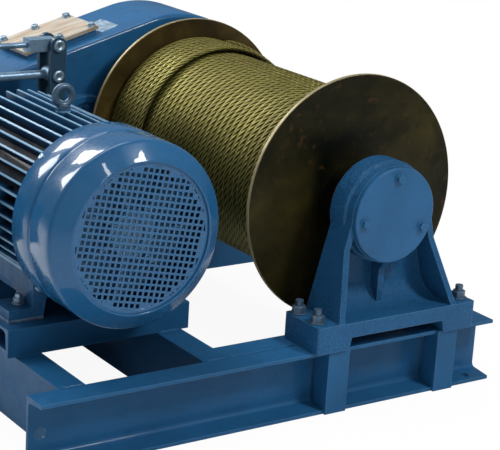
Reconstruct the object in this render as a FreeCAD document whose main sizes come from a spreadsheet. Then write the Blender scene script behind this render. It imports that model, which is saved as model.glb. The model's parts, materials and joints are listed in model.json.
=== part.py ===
"""Electric mooring winch: a rope drum on a welded channel frame, driven by a finned
motor through a block brake and a two-stage gear reducer.

Frame: X runs along the front beam, Y along the drum axis from the bearing pedestal
towards the reducer, Z up.  The origin is on the ground, in the middle of the four
anchor bolts.  All sizes are in millimetres.
"""
import FreeCAD, Part

import os

import Sketcher
from FreeCAD import Placement, Rotation, Vector

doc = FreeCAD.newDocument("MooringWinch")
sheet = doc.addObject("Spreadsheet::Sheet", "Sizes")

# --------------------------------------------------------------------------
# Driving dimensions
# --------------------------------------------------------------------------
SIZES = [
    # base frame of hot-rolled channel, 126 x 53
    ("base_length", 1007, "frame along the front beam"),
    ("beam_height", 126, "channel height"),
    ("beam_flange", 53, "channel flange width"),
    ("beam_web", 5.5, "channel web thickness"),
    ("flange_tip", 6.6, "flange thickness at its tip"),
    ("flange_root", 11.4, "flange thickness at the web"),
    ("root_radius", 9, "fillet between web and flange"),
    ("cross_left_x", -443.5, "web of the left cross member"),
    ("cross_right_x", -147, "web of the right cross member"),
    ("rear_frame", 237, "rear beams and ties along the drum axis"),
    ("case_overhang", 9, "inner rear beam in front of the reducer"),
    ("anchor_inset", 45, "anchor hole to the end of a beam"),
    ("anchor_gauge", 33, "anchor hole to the back of the web"),
    ("anchor_hole", 18, "anchor hole diameter"),
    ("sling_hole", 22, "round hole in the front web"),
    ("sling_height", 53, "centre of the web hole above the ground"),
    ("sling_inset", 25, "web hole to the left end"),
    # angle posts under the pedestal
    ("post_width", 48, "leg of the angle posts"),
    ("post_wall", 6, "wall of the angle posts"),
    ("post_offset", 132, "post centre from the drum axis"),
    ("weld_gap", 0.3, "gap of a piece let in between flanges"),
    # shaft line
    ("drum_x", 248.5, "drum axis from the middle of the frame"),
    ("axis_height", 365, "drum and motor axis above the ground"),
    ("shaft_spacing", 517, "drum axis to motor axis"),
    # bearing pedestal
    ("foot_half", 190, "half length of the pedestal foot"),
    ("foot_overhang", 12, "foot in front of the frame"),
    ("foot_depth", 108, "foot along the drum axis"),
    ("foot_height", 53, "height of the end pads"),
    ("foot_relief", 24, "height of the slot under the foot"),
    ("pad_length", 74, "length of each end pad"),
    ("housing_front", 34, "front of the bearing housing, from the front of the frame"),
    ("housing_length", 64, "bearing housing along its axis"),
    ("housing_radius", 100, "outside of the bearing housing"),
    ("nose_radius", 95, "front of the bearing housing"),
    ("nose_length", 20, "front of the bearing housing along its axis"),
    ("bearing_bore", 62, "radius of the housing bore"),
    ("leg_wall", 13, "cast legs and middle rib of the pedestal"),
    ("leg_foot", 142, "legs at the foot, from the drum axis"),
    ("leg_rise", 16, "end of the legs above the drum axis"),
    ("leg_merge", 6, "end of the legs inside the housing"),
    ("leg_kink", 60, "upright part of the legs below the drum axis"),
    ("leg_inset", 1, "legs behind the front of the foot"),
    ("rib_front", 52, "middle rib, from the front of the frame"),
    ("rib_nose", 22, "leaning part of the middle rib below the bearing cover"),
    ("web_front", 78, "back web, from the front of the frame"),
    ("web_wall", 14, "back web of the pedestal"),
    ("web_fillet", 50, "fillet between back web and foot"),
    ("cover_radius", 93, "bearing cover"),
    ("cover_wall", 9, "bearing cover thickness"),
    ("stud_hole", 18, "stud holes in the foot"),
    ("stud_spread", 172, "studs from the drum axis"),
    ("stud_front", 18, "front studs from the front of the frame"),
    ("stud_pitch", 59, "front to back studs"),
    # drum
    ("flange_front", 160, "near drum flange, from the front of the frame"),
    ("drum_width", 598, "between the flanges"),
    ("flange_radius", 244, "drum flanges"),
    ("flange_wall", 8, "drum flange thickness"),
    ("barrel_radius", 140, "outside of the drum barrel"),
    ("barrel_wall", 14, "drum barrel wall"),
    ("hub_radius", 75, "drum hub"),
    ("hub_length", 32, "drum hub in front of the flange"),
    ("journal_radius", 45, "drum journal"),
    ("journal_tail", 12, "journal end behind the bearing cover"),
    ("rope_diameter", 17, "wire rope"),
    ("rope_radius", 193, "outside of the full rope layers"),
    ("top_layer_rise", 14, "top rope layer above the full layers"),
    ("top_layer_width", 178, "top rope layer, from the far flange"),
    ("run_gap", 0.3, "gap between parts that touch on the real winch"),
    # reducer
    ("case_gap", 58, "far drum flange to the reducer"),
    ("case_depth", 212, "reducer along the drum axis"),
    ("case_low_radius", 243, "case round the output gear"),
    ("case_high_radius", 100, "case round the input pinion"),
    ("case_floor", 150, "underside of the case above the ground"),
    ("case_foot_height", 24, "foot flange of the case"),
    ("case_foot_lip", 16, "foot flange behind the case wall"),
    ("case_front_edge", 10, "rounding of the cover's front edge"),
    ("case_back_edge", 30, "rounding of the cover's back edge"),
    ("split_flange", 16, "half of the split flange"),
    ("split_lip", 20, "split flange outside the walls"),
    ("middle_shaft_x", 232, "drum axis to intermediate shaft"),
    ("low_boss_radius", 110, "output bearing boss"),
    ("middle_boss_radius", 78, "intermediate bearing boss"),
    ("high_boss_radius", 64, "input bearing boss"),
    ("boss_length", 20, "bearing bosses in front of the walls"),
    ("cap_wall", 7, "bearing caps"),
    ("cap_inset", 14, "cap edge inside the boss edge"),
    ("output_radius", 45, "output shaft"),
    ("input_radius", 24, "input shaft"),
    ("hatch_length", 170, "inspection cover along the slope"),
    ("hatch_width", 126, "inspection cover across"),
    ("hatch_wall", 8, "inspection cover"),
    ("hatch_place", 262, "inspection cover centre from the drum axis"),
    ("hatch_rim", 10, "height of the inspection opening rim"),
    ("rib_case", 12, "case ribs below the bosses"),
    # motor
    ("motor_height", 180, "motor axis above its feet"),
    ("packing", 6, "packing plate under the motor feet"),
    ("support_length", 380, "flat channels under motor and brake"),
    ("support_x", -458.5, "left end of the flat channels"),
    ("feet_across", 279, "foot holes across the motor"),
    ("feet_along", 241, "foot holes along the motor"),
    ("foot_hole", 15, "motor foot holes"),
    ("feet_inset", 69, "front foot holes behind the start of the motor frame"),
    ("motor_foot_wall", 18, "motor foot thickness"),
    ("motor_foot_width", 70, "motor foot across"),
    ("motor_foot_length", 66, "motor foot along the motor, round its hole"),
    ("frame_radius", 138, "motor frame without fins"),
    ("frame_bore", 118, "bore of the motor frame"),
    ("fin_radius", 163, "tips of the cooling fins"),
    ("fin_wall", 4, "cooling fin thickness"),
    ("fin_count", 44, "cooling fins"),
    ("motor_gap", 149, "motor frame to the middle of the brake wheel"),
    ("frame_length", 366, "motor frame along its axis"),
    ("shield_length", 36, "motor end shield"),
    ("shield_rim", 14, "rim of the end shield at the frame"),
    ("cowl_lug", 26, "lug for a cowl screw"),
    ("cowl_lug_count", 4, "lugs for the cowl"),
    ("cowl_reach", 112, "front of the fan cowl to the motor frame"),
    ("cowl_length", 145, "fan cowl along its axis"),
    ("cowl_radius", 174, "outside of the fan cowl"),
    ("cowl_wall", 2.5, "fan cowl sheet"),
    ("cowl_corner", 20, "front corner radius of the cowl"),
    ("groove_place", 80, "groove round the cowl, from its front"),
    ("groove_width", 11, "groove round the cowl"),
    ("groove_depth", 2.5, "groove round the cowl"),
    ("grille_radius", 134, "recessed grille of the cowl"),
    ("grille_recess", 6, "back of the grille behind the cowl front"),
    ("mesh_pitch", 11, "pitch of the square grille holes"),
    ("mesh_hole", 7.2, "side of the square grille holes"),
    ("mesh_radius", 123, "outline of the perforated field"),
    ("fan_radius", 128, "cooling fan"),
    ("fan_hub", 44, "cooling fan hub"),
    ("fan_start", 18, "cooling fan behind the cowl front"),
    ("fan_length", 50, "cooling fan along its axis"),
    ("blade_count", 7, "cooling fan blades"),
    ("blade_wall", 4, "fan blade"),
    ("motor_shaft", 24, "motor shaft radius"),
    ("shaft_reach", 26, "motor shaft past the middle of the brake wheel"),
    ("eye_inset", 178, "lifting eye behind the start of the motor frame"),
    ("eye_radius", 17.5, "lifting eye ring"),
    ("eye_bar", 6.5, "lifting eye bar radius"),
    ("eye_boss", 14, "lifting eye boss radius"),
    ("eye_boss_top", 167, "lifting eye boss above the motor axis"),
    ("box_length", 150, "terminal box along the motor"),
    ("box_height", 120, "terminal box height"),
    ("box_depth", 60, "terminal box from its seat to its lid"),
    ("box_lid", 8, "terminal box lid"),
    ("box_reach", 232, "terminal box cover from the motor axis"),
    # brake
    ("wheel_radius", 100, "brake wheel"),
    ("wheel_width", 78, "brake wheel width"),
    ("wheel_gap", 105, "middle of the brake wheel to the reducer"),
    ("support_shift", 8, "brake support behind the middle of the brake wheel"),
    ("wheel_hub", 40, "brake wheel hub"),
    ("lining_gap", 1.0, "brake lining to wheel, brake set"),
    ("lining_wall", 9, "brake lining"),
    ("shoe_wall", 16, "brake shoe"),
    ("shoe_angle", 35, "half angle of a brake shoe"),
    ("shoe_width", 70, "brake shoe width"),
    ("arm_offset", 151.5, "brake arm from the wheel axis"),
    ("arm_width", 36, "brake arm plate width"),
    ("arm_plate", 10, "brake arm plate thickness"),
    ("arm_gap", 40, "between the two plates of an arm"),
    ("arm_top", 217, "top pin above the wheel axis"),
    ("rod_height", 154, "spring rod above the wheel axis"),
    ("pivot_drop", 148, "arm pivot below the wheel axis"),
    ("pin_radius", 9, "brake pins"),
    ("pin_clearance", 0.05, "running clearance of the pins"),
    ("pin_head", 3, "pin ends outside the arm plates"),
    ("lug_play", 1, "shoe lug to an arm plate"),
    ("lug_height", 30, "shoe lug"),
    ("lug_reach", 20, "shoe lug from the arm to the shoe"),
    ("rod_radius", 9, "spring rod"),
    ("rod_end", 54, "spring rod outside the left arm"),
    ("rod_play", 3, "rod eyes to an arm plate"),
    ("rod_clearance", 1.5, "rods in the trunnions"),
    ("eye_wall", 8, "eye of the spring rod"),
    ("trunnion_radius", 15, "trunnions of the left arm"),
    ("release_radius", 6, "release rod"),
    ("release_end", 44, "release rod outside the left arm"),
    ("head_length", 58, "head of the release rod"),
    ("head_height", 26, "head of the release rod"),
    ("spring_radius", 21, "brake spring"),
    ("spring_length", 108, "brake spring"),
    ("spring_place", 50, "brake spring to the left arm"),
    ("magnet_width", 92, "release magnet along X"),
    ("magnet_depth", 96, "release magnet along Y"),
    ("magnet_height", 108, "release magnet"),
    ("magnet_drop", 88, "release magnet below the spring rod"),
    ("magnet_wall", 14, "release magnet beside its slot"),
    ("magnet_slot_width", 48, "slot for the rod ends"),
    ("magnet_slot_depth", 24, "slot below the spring rod"),
    ("stand_wall", 14, "brake stand plate"),
    ("ear_wall", 12, "brake stand ears"),
]
for row, (alias, value, note) in enumerate(SIZES, start=1):
    sheet.set("A%d" % row, alias)
    sheet.set("B%d" % row, str(value))
    sheet.set("C%d" % row, note)
    sheet.setAlias("B%d" % row, alias)
doc.recompute()


def size(alias):
    """Value of one driving dimension."""
    return float(sheet.get(alias))


WORDS = [alias for alias, _, _ in SIZES]
# Places along the shaft line, worked out from the driving dimensions.  All but the
# frame's depth are distances from the front of the frame.
DERIVED = {
    "far_flange": "(flange_front + flange_wall + drum_width)",
    "case_front": "(far_flange + flange_wall + case_gap)",
    "rear_face": "(case_front - case_overhang)",
    "base_depth": "(rear_face + rear_frame)",
    "wheel_place": "(case_front - wheel_gap)",
    "frame_start": "(wheel_place - motor_gap - frame_length)",
    "feet_place": "(frame_start + feet_inset)",
    "eye_place": "(frame_start + eye_inset)",
    "cowl_front": "(frame_start - cowl_reach)",
    "shaft_end": "(wheel_place + shaft_reach)",
}


def bound(text):
    """Turn an expression in plain aliases into one that reads the sheet."""
    out, place = "", 0
    while place < len(text):
        if text[place].isalpha():
            end = place
            while end < len(text) and (text[end].isalnum() or text[end] == "_"):
                end += 1
            word = text[place:end]
            if word in DERIVED:
                out += bound(DERIVED[word])
            else:
                out += "Sizes." + word if word in WORDS else word
            place = end
        else:
            out += text[place]
            place += 1
    return out


def tie(obj, prop, text):
    """Bind one property to an expression in the driving dimensions."""
    obj.setExpression(prop, bound(str(text)))


# Places that many pieces share, as expressions
FRONT = "(-base_depth / 2)"
LEFT = "(-base_length / 2)"
DRUM_X = "drum_x"
MOTOR_X = "(drum_x - shaft_spacing)"
AXIS_Z = "axis_height"
TOP = "beam_height"
SUPPORT_TOP = "(beam_height + beam_flange)"


def along(distance):
    """Y of a distance measured from the front of the frame."""
    return "(%s + %s)" % (FRONT, distance)


# --------------------------------------------------------------------------
# Helpers: bodies, sketches and their features
# --------------------------------------------------------------------------
UPRIGHT = Rotation()
ALONG_Y = Rotation(Vector(1, 0, 0), Vector(0, 0, -1), Vector(0, 1, 0), "XYZ")
PIECES = []


def place(obj, x, y, z, rotation=UPRIGHT):
    """Put an object at bound coordinates."""
    obj.Placement = Placement(Vector(), rotation)
    for axis, text in zip("xyz", (x, y, z)):
        tie(obj, ".Placement.Base." + axis, text)


def keep(obj, name):
    """Register an object as a finished piece of the winch."""
    obj.Label = name
    PIECES.append(obj)
    return obj


def together(name, parts):
    """One piece name for several like solids that do not touch."""
    group = doc.addObject("Part::Compound", "group_" + name)
    group.Links = parts
    return keep(group, name)


def new_body(name):
    return doc.addObject("PartDesign::Body", "Body_" + name)


def new_sketch(body, plane, offset="0"):
    """Sketch on an origin plane of its body, moved along the plane's normal."""
    sketch = body.newObject("Sketcher::SketchObject", body.Name + "_sketch")
    role = {"XY": "XY_Plane", "XZ": "XZ_Plane", "YZ": "YZ_Plane"}[plane]
    face = [item for item in body.Origin.OriginFeatures if item.Role == role][0]
    sketch.AttachmentSupport = [(face, "")]
    sketch.MapMode = "FlatFace"
    tie(sketch, ".AttachmentOffset.Base.z", offset)
    return sketch


def value_of(text):
    """Number of an expression in plain aliases, to start a sketch near its shape."""
    return float(sheet.evalExpression(bound(str(text))))


def add_point(sketch, index, end, x, y):
    """Fix one point of a sketch element by bound coordinates."""
    for kind, text in (("DistanceX", x), ("DistanceY", y)):
        number = value_of(text)
        mark = sketch.addConstraint(Sketcher.Constraint(kind, -1, 1, index, end, number))
        tie(sketch, "Constraints[%d]" % mark, text)


def outline(sketch, points):
    """Closed polygon whose corners are bound coordinates."""
    values = [Vector(value_of(x), value_of(y), 0) for x, y in points]
    first = sketch.GeometryCount
    count = len(points)
    for index in range(count):
        line = Part.LineSegment(values[index], values[(index + 1) % count])
        sketch.addGeometry(line, False)
    for index in range(count):
        after = first + (index + 1) % count
        sketch.addConstraint(Sketcher.Constraint("Coincident", first + index, 2, after, 1))
    for index, (x, y) in enumerate(points):
        add_point(sketch, first + index, 1, x, y)


def ring(sketch, x, y, radius):
    """Circle with bound centre and radius."""
    circle = Part.Circle(Vector(value_of(x), value_of(y), 0), Vector(0, 0, 1), value_of(radius))
    index = sketch.addGeometry(circle, False)
    add_point(sketch, index, 3, x, y)
    mark = sketch.addConstraint(Sketcher.Constraint("Radius", index, value_of(radius)))
    tie(sketch, "Constraints[%d]" % mark, radius)


def feature(body, kind, sketch, **bindings):
    """Add a sketch-based feature and bind its lengths."""
    item = body.newObject("PartDesign::" + kind, body.Name + "_" + kind)
    item.Profile = sketch
    for prop, text in bindings.items():
        tie(item, prop, text)
    return item


def pad(body, sketch, length, backwards=False):
    item = feature(body, "Pad", sketch, Length=length)
    item.Reversed = backwards
    return item


def pocket(body, sketch, length, backwards=False):
    item = feature(body, "Pocket", sketch, Length=length)
    item.Reversed = backwards
    return item


def turned(name, profile, x, y, z):
    """Body of revolution about the Y direction: profile is (radius, distance along Y)."""
    body = new_body(name)
    sketch = new_sketch(body, "XZ")
    outline(sketch, profile)
    turn = body.newObject("PartDesign::Revolution", body.Name + "_turn")
    turn.Profile = sketch
    turn.ReferenceAxis = (sketch, ["V_Axis"])
    turn.Angle = 360
    place(body, x, y, z, ALONG_Y)
    return keep(body, name)


def edges_at(shape, test):
    """Names of the straight edges whose middle passes a test."""
    names = []
    for number, edge in enumerate(shape.Edges, start=1):
        if test(edge.CenterOfMass, edge):
            names.append("Edge%d" % number)
    return names


def primitive(kind, name, **bindings):
    item = doc.addObject("Part::" + kind, name)
    for prop, text in bindings.items():
        tie(item, prop, text)
    return item


def block(name, length, width, height, x, y, z):
    item = primitive("Box", name, Length=length, Width=width, Height=height)
    place(item, x, y, z)
    return item


def round_bar(name, radius, length, x, y, z, rotation=ALONG_Y):
    item = primitive("Cylinder", name, Radius=radius, Height=length)
    place(item, x, y, z, rotation)
    return item


def joined(name, shapes):
    item = doc.addObject("Part::MultiFuse", name)
    item.Shapes = shapes
    item.Refine = True
    return item


def minus(name, base, tool):
    item = doc.addObject("Part::Cut", name)
    item.Base = base
    item.Tool = tool
    item.Refine = True
    return item


# --------------------------------------------------------------------------
# Base frame
# --------------------------------------------------------------------------


def channel(name, length, x, y, z, flange_way, run, holes=()):
    """Hot-rolled channel with tapered flanges and filleted roots.

    The web's back and one edge of the section start at x, y, z; flange_way points
    from the web to the flange tips, run along the length.  Holes are drilled through
    the flange on the far side of the section as (distance along, gauge, radius), or
    through the web when gauge is None, as (distance along, None, radius, height).
    """
    body = new_body(name)
    sketch = new_sketch(body, "XY")
    outline(sketch, [
        ("0", "0"),
        ("beam_flange", "0"),
        ("beam_flange", "flange_tip"),
        ("beam_web", "flange_root"),
        ("beam_web", "beam_height - flange_root"),
        ("beam_flange", "beam_height - flange_tip"),
        ("beam_flange", "beam_height"),
        ("0", "beam_height"),
    ])
    item = pad(body, sketch, length)
    doc.recompute()
    web, middle = size("beam_web"), size("beam_height") / 2
    reach = middle - size("flange_root")

    def is_root(centre, edge):
        inside = abs(centre.x - web) < 0.01 and abs(abs(centre.y - middle) - reach) < 0.01
        return inside and edge.Length > web * 2

    fillet = body.newObject("PartDesign::Fillet", body.Name + "_fillet")
    fillet.Base = (item, edges_at(item.Shape, is_root))
    tie(fillet, "Radius", "root_radius")
    for hole in holes:
        if hole[1] is None:
            drill = new_sketch(body, "YZ", "-1")
            ring(drill, hole[3], hole[0], hole[2])
            pocket(body, drill, "beam_web + 2", True)
        else:
            drill = new_sketch(body, "XZ", "-(beam_height + 1)")
            ring(drill, hole[1], hole[0], hole[2])
            pocket(body, drill, "beam_height / 2", True)
    across = run.cross(flange_way)
    place(body, x, y, z, Rotation(flange_way, across, run, "XYZ"))
    return body


EAST, NORTH, UP = Vector(1, 0, 0), Vector(0, 1, 0), Vector(0, 0, 1)
WEST, SOUTH, DOWN = Vector(-1, 0, 0), Vector(0, -1, 0), Vector(0, 0, -1)
ANCHORS = [
    ("anchor_inset", "anchor_gauge", "anchor_hole / 2"),
    ("base_length - anchor_inset", "anchor_gauge", "anchor_hole / 2"),
]
SLING = [("sling_inset", None, "sling_hole / 2", "beam_height - sling_height")]

keep(channel("front_beam", "base_length", LEFT, along("beam_flange"), TOP,
             SOUTH, EAST, ANCHORS + SLING), "front_beam")
INNER_START = "(cross_right_x + beam_flange + weld_gap)"
keep(channel("front_beam_inner", "base_length / 2 - %s" % INNER_START, INNER_START,
             along("beam_flange + weld_gap"), "0", NORTH, EAST), "front_beam_inner")
CROSS_LENGTH = "rear_face - beam_flange - 2 * weld_gap"
together("cross_members", [
    channel("cross_" + side, CROSS_LENGTH, start, along("beam_flange + weld_gap"),
            TOP, EAST, NORTH)
    for side, start in (("left", "cross_left_x"), ("right", "cross_right_x"))])
keep(channel("rear_beam_inner", "base_length", LEFT, along("rear_face"),
             "0", NORTH, EAST), "rear_beam_inner")
keep(channel("rear_beam_outer", "base_length", "(base_length / 2)",
             along("base_depth - beam_flange"), TOP, NORTH, WEST, ANCHORS), "rear_beam_outer")
TIE_LENGTH = "base_depth - rear_face - 2 * beam_flange - 2 * weld_gap"
TIE_ENDS = (("left", LEFT, TOP, EAST), ("right", "(base_length / 2)", "0", WEST))
together("rear_ties", [
    channel("tie_" + side, TIE_LENGTH, start,
            along("rear_face + beam_flange + weld_gap"), level, flange_way, NORTH)
    for side, start, level, flange_way in TIE_ENDS])


def flat_channel(name, centre):
    """Channel laid web up across the cross members."""
    return channel(name, "support_length", "support_x", along(centre + " - beam_height / 2"),
                   SUPPORT_TOP, DOWN, EAST)


together("motor_supports", [
    flat_channel("support_front", "feet_place"),
    flat_channel("support_rear", "feet_place + feet_along")])
keep(flat_channel("support_brake", "wheel_place + support_shift"), "brake_support")


def angle_post(name, centre):
    """Angle that stiffens the front beam: front leg on the flange tips, side leg
    between the flanges."""
    left = "%s - post_width / 2" % centre
    front = block(name + "_front", "post_width", "post_wall", "beam_height",
                  left, along("-post_wall"), "0")
    body = new_body(name + "_side")
    sketch = new_sketch(body, "YZ")
    slope = "(flange_root - flange_tip) / (beam_flange - beam_web)"
    reach = "beam_flange - beam_web - root_radius - 2"
    rise = "(flange_tip + weld_gap + (%s) * (%s))" % (slope, reach)
    outline(sketch, [
        ("-weld_gap", "flange_tip + weld_gap"),
        (reach, rise),
        (reach, "beam_height - " + rise),
        ("-weld_gap", "beam_height - flange_tip - weld_gap"),
    ])
    pad(body, sketch, "post_wall")
    place(body, left, FRONT, "0")
    return joined(name, [front, body])


together("pedestal_posts", [
    angle_post("post_left", "(drum_x - post_offset)"),
    angle_post("post_right", "(drum_x + post_offset)")])

# --------------------------------------------------------------------------
# Bearing pedestal, one casting
# --------------------------------------------------------------------------
RISE = "(axis_height - beam_height)"
FOOT_BACK = "(foot_depth - foot_overhang)"


def mirrored(points):
    """The same corners on the other side of the drum axis."""
    return [("-(%s)" % x, z) for x, z in points]


def pedestal_foot(body):
    """Slab with rounded corners and a slot across its underside."""
    foot = new_sketch(body, "XY")
    outline(foot, [
        ("-foot_half", "-foot_overhang"),
        ("foot_half", "-foot_overhang"),
        ("foot_half", FOOT_BACK),
        ("-foot_half", FOOT_BACK),
    ])
    slab = pad(body, foot, "foot_height")
    doc.recompute()
    half, middle = size("foot_half"), size("foot_height") / 2
    corners = body.newObject("PartDesign::Fillet", "pedestal_corners")
    corners.Base = (slab, edges_at(slab.Shape, lambda c, e: abs(abs(c.x) - half) < 0.01
                                   and abs(c.z - middle) < 0.01))
    tie(corners, "Radius", "pad_length / 15")
    slot = new_sketch(body, "XZ", "foot_overhang + 1")
    outline(slot, [
        ("-(foot_half - pad_length)", "-1"),
        ("foot_half - pad_length", "-1"),
        ("foot_half - pad_length - foot_relief / 4", "foot_relief"),
        ("-(foot_half - pad_length - foot_relief / 4)", "foot_relief"),
    ])
    pocket(body, slot, "foot_depth + 2")


def pedestal_legs(body):
    """Two legs, level with the foot's front below and with the housing's above."""
    leg = [
        ("leg_foot", "foot_height - 1"),
        ("leg_foot - leg_wall", "foot_height - 1"),
        ("nose_radius - leg_merge - leg_wall", RISE + " + leg_rise"),
        ("nose_radius - leg_merge", RISE + " + leg_rise"),
    ]
    for corners in (leg, mirrored(leg)):
        side = new_sketch(body, "XZ", "foot_overhang - leg_inset")
        outline(side, corners)
        pad(body, side, "foot_depth - 2 * leg_inset", True)
    lean = new_sketch(body, "YZ", "-(foot_half + 1)")
    outline(lean, [
        ("-foot_overhang - 1", "foot_height"),
        ("-foot_overhang + leg_inset", "foot_height"),
        ("housing_front", RISE + " - leg_kink"),
        ("housing_front", RISE + " + housing_radius"),
        ("-foot_overhang - 1", RISE + " + housing_radius"),
    ])
    pocket(body, lean, "2 * foot_half + 2", True)


def pedestal_web(body):
    """Back web that runs into the foot with a wide cove, and the middle rib before it."""
    web = new_sketch(body, "XZ", "-web_front")
    outline(web, [
        ("-leg_foot + leg_wall / 2", "foot_height - 1"),
        ("leg_foot - leg_wall / 2", "foot_height - 1"),
        ("nose_radius - leg_wall / 2", RISE),
        ("-nose_radius + leg_wall / 2", RISE),
    ])
    plate = pad(body, web, "web_wall", True)
    doc.recompute()
    top, face = size("foot_height"), size("web_front")
    cove = body.newObject("PartDesign::Fillet", "pedestal_cove")
    cove.Base = (plate, edges_at(plate.Shape, lambda c, e: abs(c.z - top) < 0.01
                                 and abs(c.x) < 1 and abs(c.y - face) < 0.01))
    tie(cove, "Radius", "web_fillet")
    rib = new_sketch(body, "YZ", "-leg_wall / 2")
    outline(rib, [
        ("rib_front", "foot_height - 1"),
        ("rib_front", RISE + " - cover_radius - rib_nose"),
        ("housing_front + 2", RISE + " - cover_radius"),
        ("housing_front + 2", RISE),
        ("web_front + 1", RISE),
        ("web_front + 1", "foot_height - 1"),
    ])
    pad(body, rib, "leg_wall")


def bearing_pedestal():
    body = new_body("bearing_pedestal")
    pedestal_foot(body)
    pedestal_web(body)
    pedestal_legs(body)
    nose = new_sketch(body, "XZ", "-housing_front")
    ring(nose, "0", RISE, "nose_radius")
    pad(body, nose, "housing_length", True)
    housing = new_sketch(body, "XZ", "-(housing_front + nose_length)")
    ring(housing, "0", RISE, "housing_radius")
    drum = pad(body, housing, "housing_length - nose_length", True)
    doc.recompute()
    step, radius = value_of("housing_front + nose_length"), size("housing_radius")
    soft = body.newObject("PartDesign::Fillet", "housing_step")
    soft.Base = (drum, edges_at(drum.Shape, lambda c, e: isinstance(e.Curve, Part.Circle)
                                and abs(e.Curve.Radius - radius) < 0.01
                                and abs(c.y - step) < 0.01))
    tie(soft, "Radius", "housing_radius - nose_radius - weld_gap")
    bore = new_sketch(body, "XZ", "-(housing_front - 1)")
    ring(bore, "0", RISE, "bearing_bore")
    pocket(body, bore, "housing_length + 2")
    studs = new_sketch(body, "XY", "-1")
    for x in ("-stud_spread", "stud_spread"):
        for y in ("stud_front", "stud_front + stud_pitch"):
            ring(studs, x, y, "stud_hole / 2")
    pocket(body, studs, "foot_height + 2", True)
    place(body, DRUM_X, FRONT, TOP)
    keep(body, "bearing_pedestal")


bearing_pedestal()
turned("bearing_cover", [
    ("0", "0"), ("cover_radius - 2", "0"), ("cover_radius", "2"),
    ("cover_radius", "cover_wall"), ("bearing_bore - run_gap", "cover_wall"),
    ("bearing_bore - run_gap", "cover_wall + 4"), ("0", "cover_wall + 4"),
], DRUM_X, along("housing_front - cover_wall"), AXIS_Z)
turned("drum_bearing", [
    ("journal_radius + pin_clearance", "0"), ("bearing_bore - pin_clearance", "0"),
    ("bearing_bore - pin_clearance", "46"), ("journal_radius + pin_clearance", "46"),
], DRUM_X, along("housing_front + 18"), AXIS_Z)

# --------------------------------------------------------------------------
# Drum, turned about the output shaft line
# --------------------------------------------------------------------------
HUB_SEAT = "(hub_radius - 20)"
turned("drum_journal", [
    ("0", "0"), ("journal_radius - 2", "0"), ("journal_radius", "2"),
    ("journal_radius", "flange_front - hub_length - housing_front - journal_tail"),
    ("hub_radius", "flange_front - hub_length - housing_front - journal_tail"),
    ("hub_radius", "flange_front - housing_front - journal_tail"),
    (HUB_SEAT, "flange_front - housing_front - journal_tail"),
    (HUB_SEAT, "flange_front - housing_front - journal_tail + flange_wall + 20"),
    ("0", "flange_front - housing_front - journal_tail + flange_wall + 20"),
], DRUM_X, along("housing_front + journal_tail"), AXIS_Z)
FLANGE = [
    (HUB_SEAT + " + weld_gap", "0"), ("flange_radius - 1", "0"), ("flange_radius", "1"),
    ("flange_radius", "flange_wall - 1"), ("flange_radius - 1", "flange_wall"),
    (HUB_SEAT + " + weld_gap", "flange_wall"),
]
turned("drum_flange_near", FLANGE, DRUM_X, along("flange_front"), AXIS_Z)
turned("drum_flange_far", FLANGE, DRUM_X, along("far_flange"), AXIS_Z)
turned("drum_barrel", [
    ("barrel_radius - barrel_wall", "0"), ("barrel_radius", "0"),
    ("barrel_radius", "drum_width"), ("barrel_radius - barrel_wall", "drum_width"),
], DRUM_X, along("flange_front + flange_wall"), AXIS_Z)
turned("rope_winding", [
    ("barrel_radius + weld_gap", "weld_gap"), ("rope_radius", "weld_gap"),
    ("rope_radius", "drum_width - weld_gap"), ("barrel_radius + weld_gap", "drum_width - weld_gap"),
], DRUM_X, along("flange_front + flange_wall"), AXIS_Z)
turned("rope_top_layer", [
    ("rope_radius + weld_gap", "0"), ("rope_radius + top_layer_rise / 2", "0"),
    ("rope_radius + top_layer_rise", "rope_diameter / 2"),
    ("rope_radius + top_layer_rise", "top_layer_width - weld_gap"),
    ("rope_radius + weld_gap", "top_layer_width - weld_gap"),
], DRUM_X, along("far_flange - top_layer_width"), AXIS_Z)
turned("output_shaft", [
    ("0", "0"), (HUB_SEAT, "0"), (HUB_SEAT, "flange_wall + 20"),
    ("hub_radius", "flange_wall + 20"), ("hub_radius", "flange_wall + 20 + hub_length - 8"),
    ("output_radius", "flange_wall + 20 + hub_length - 8"),
    ("output_radius", "case_front - far_flange + 20 + 90"),
    ("0", "case_front - far_flange + 20 + 90"),
], DRUM_X, along("far_flange - 20"), AXIS_Z)

# --------------------------------------------------------------------------
# Gear reducer: split case, bosses on the three shaft lines
# --------------------------------------------------------------------------
SINE = "((case_low_radius - case_high_radius) / shaft_spacing)"
COSINE = "sqrt(1 - %s * %s)" % (SINE, SINE)
CASE_LEFT = "(-shaft_spacing - case_high_radius)"
BOSSES = [
    ("0", "low_boss_radius", "output_radius"),
    ("-middle_shaft_x", "middle_boss_radius", None),
    ("-shaft_spacing", "high_boss_radius", "input_radius"),
]


def rectangle(x_low, x_high, y_low, y_high):
    return [(x_low, y_low), (x_high, y_low), (x_high, y_high), (x_low, y_high)]


def case_bosses(body):
    """Bearing bosses on both walls, with a recess for the caps."""
    for x, radius, _ in BOSSES:
        out = new_sketch(body, "XZ", "boss_length")
        ring(out, x, "0", radius)
        pad(body, out, "case_depth + 2 * boss_length", True)
    for x, radius, _ in BOSSES:
        for plane, backwards in (("boss_length + 1", False), ("-(case_depth + boss_length + 1)", True)):
            dip = new_sketch(body, "XZ", plane)
            ring(dip, x, "0", radius + " - cap_inset")
            pocket(body, dip, "cap_wall + 6", backwards)
    for x, radius, shaft in BOSSES:
        if shaft:
            hole = new_sketch(body, "XZ", "boss_length + 1")
            ring(hole, x, "0", shaft + " + 1")
            pocket(body, hole, "case_depth / 2 + boss_length + 1")


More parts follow.
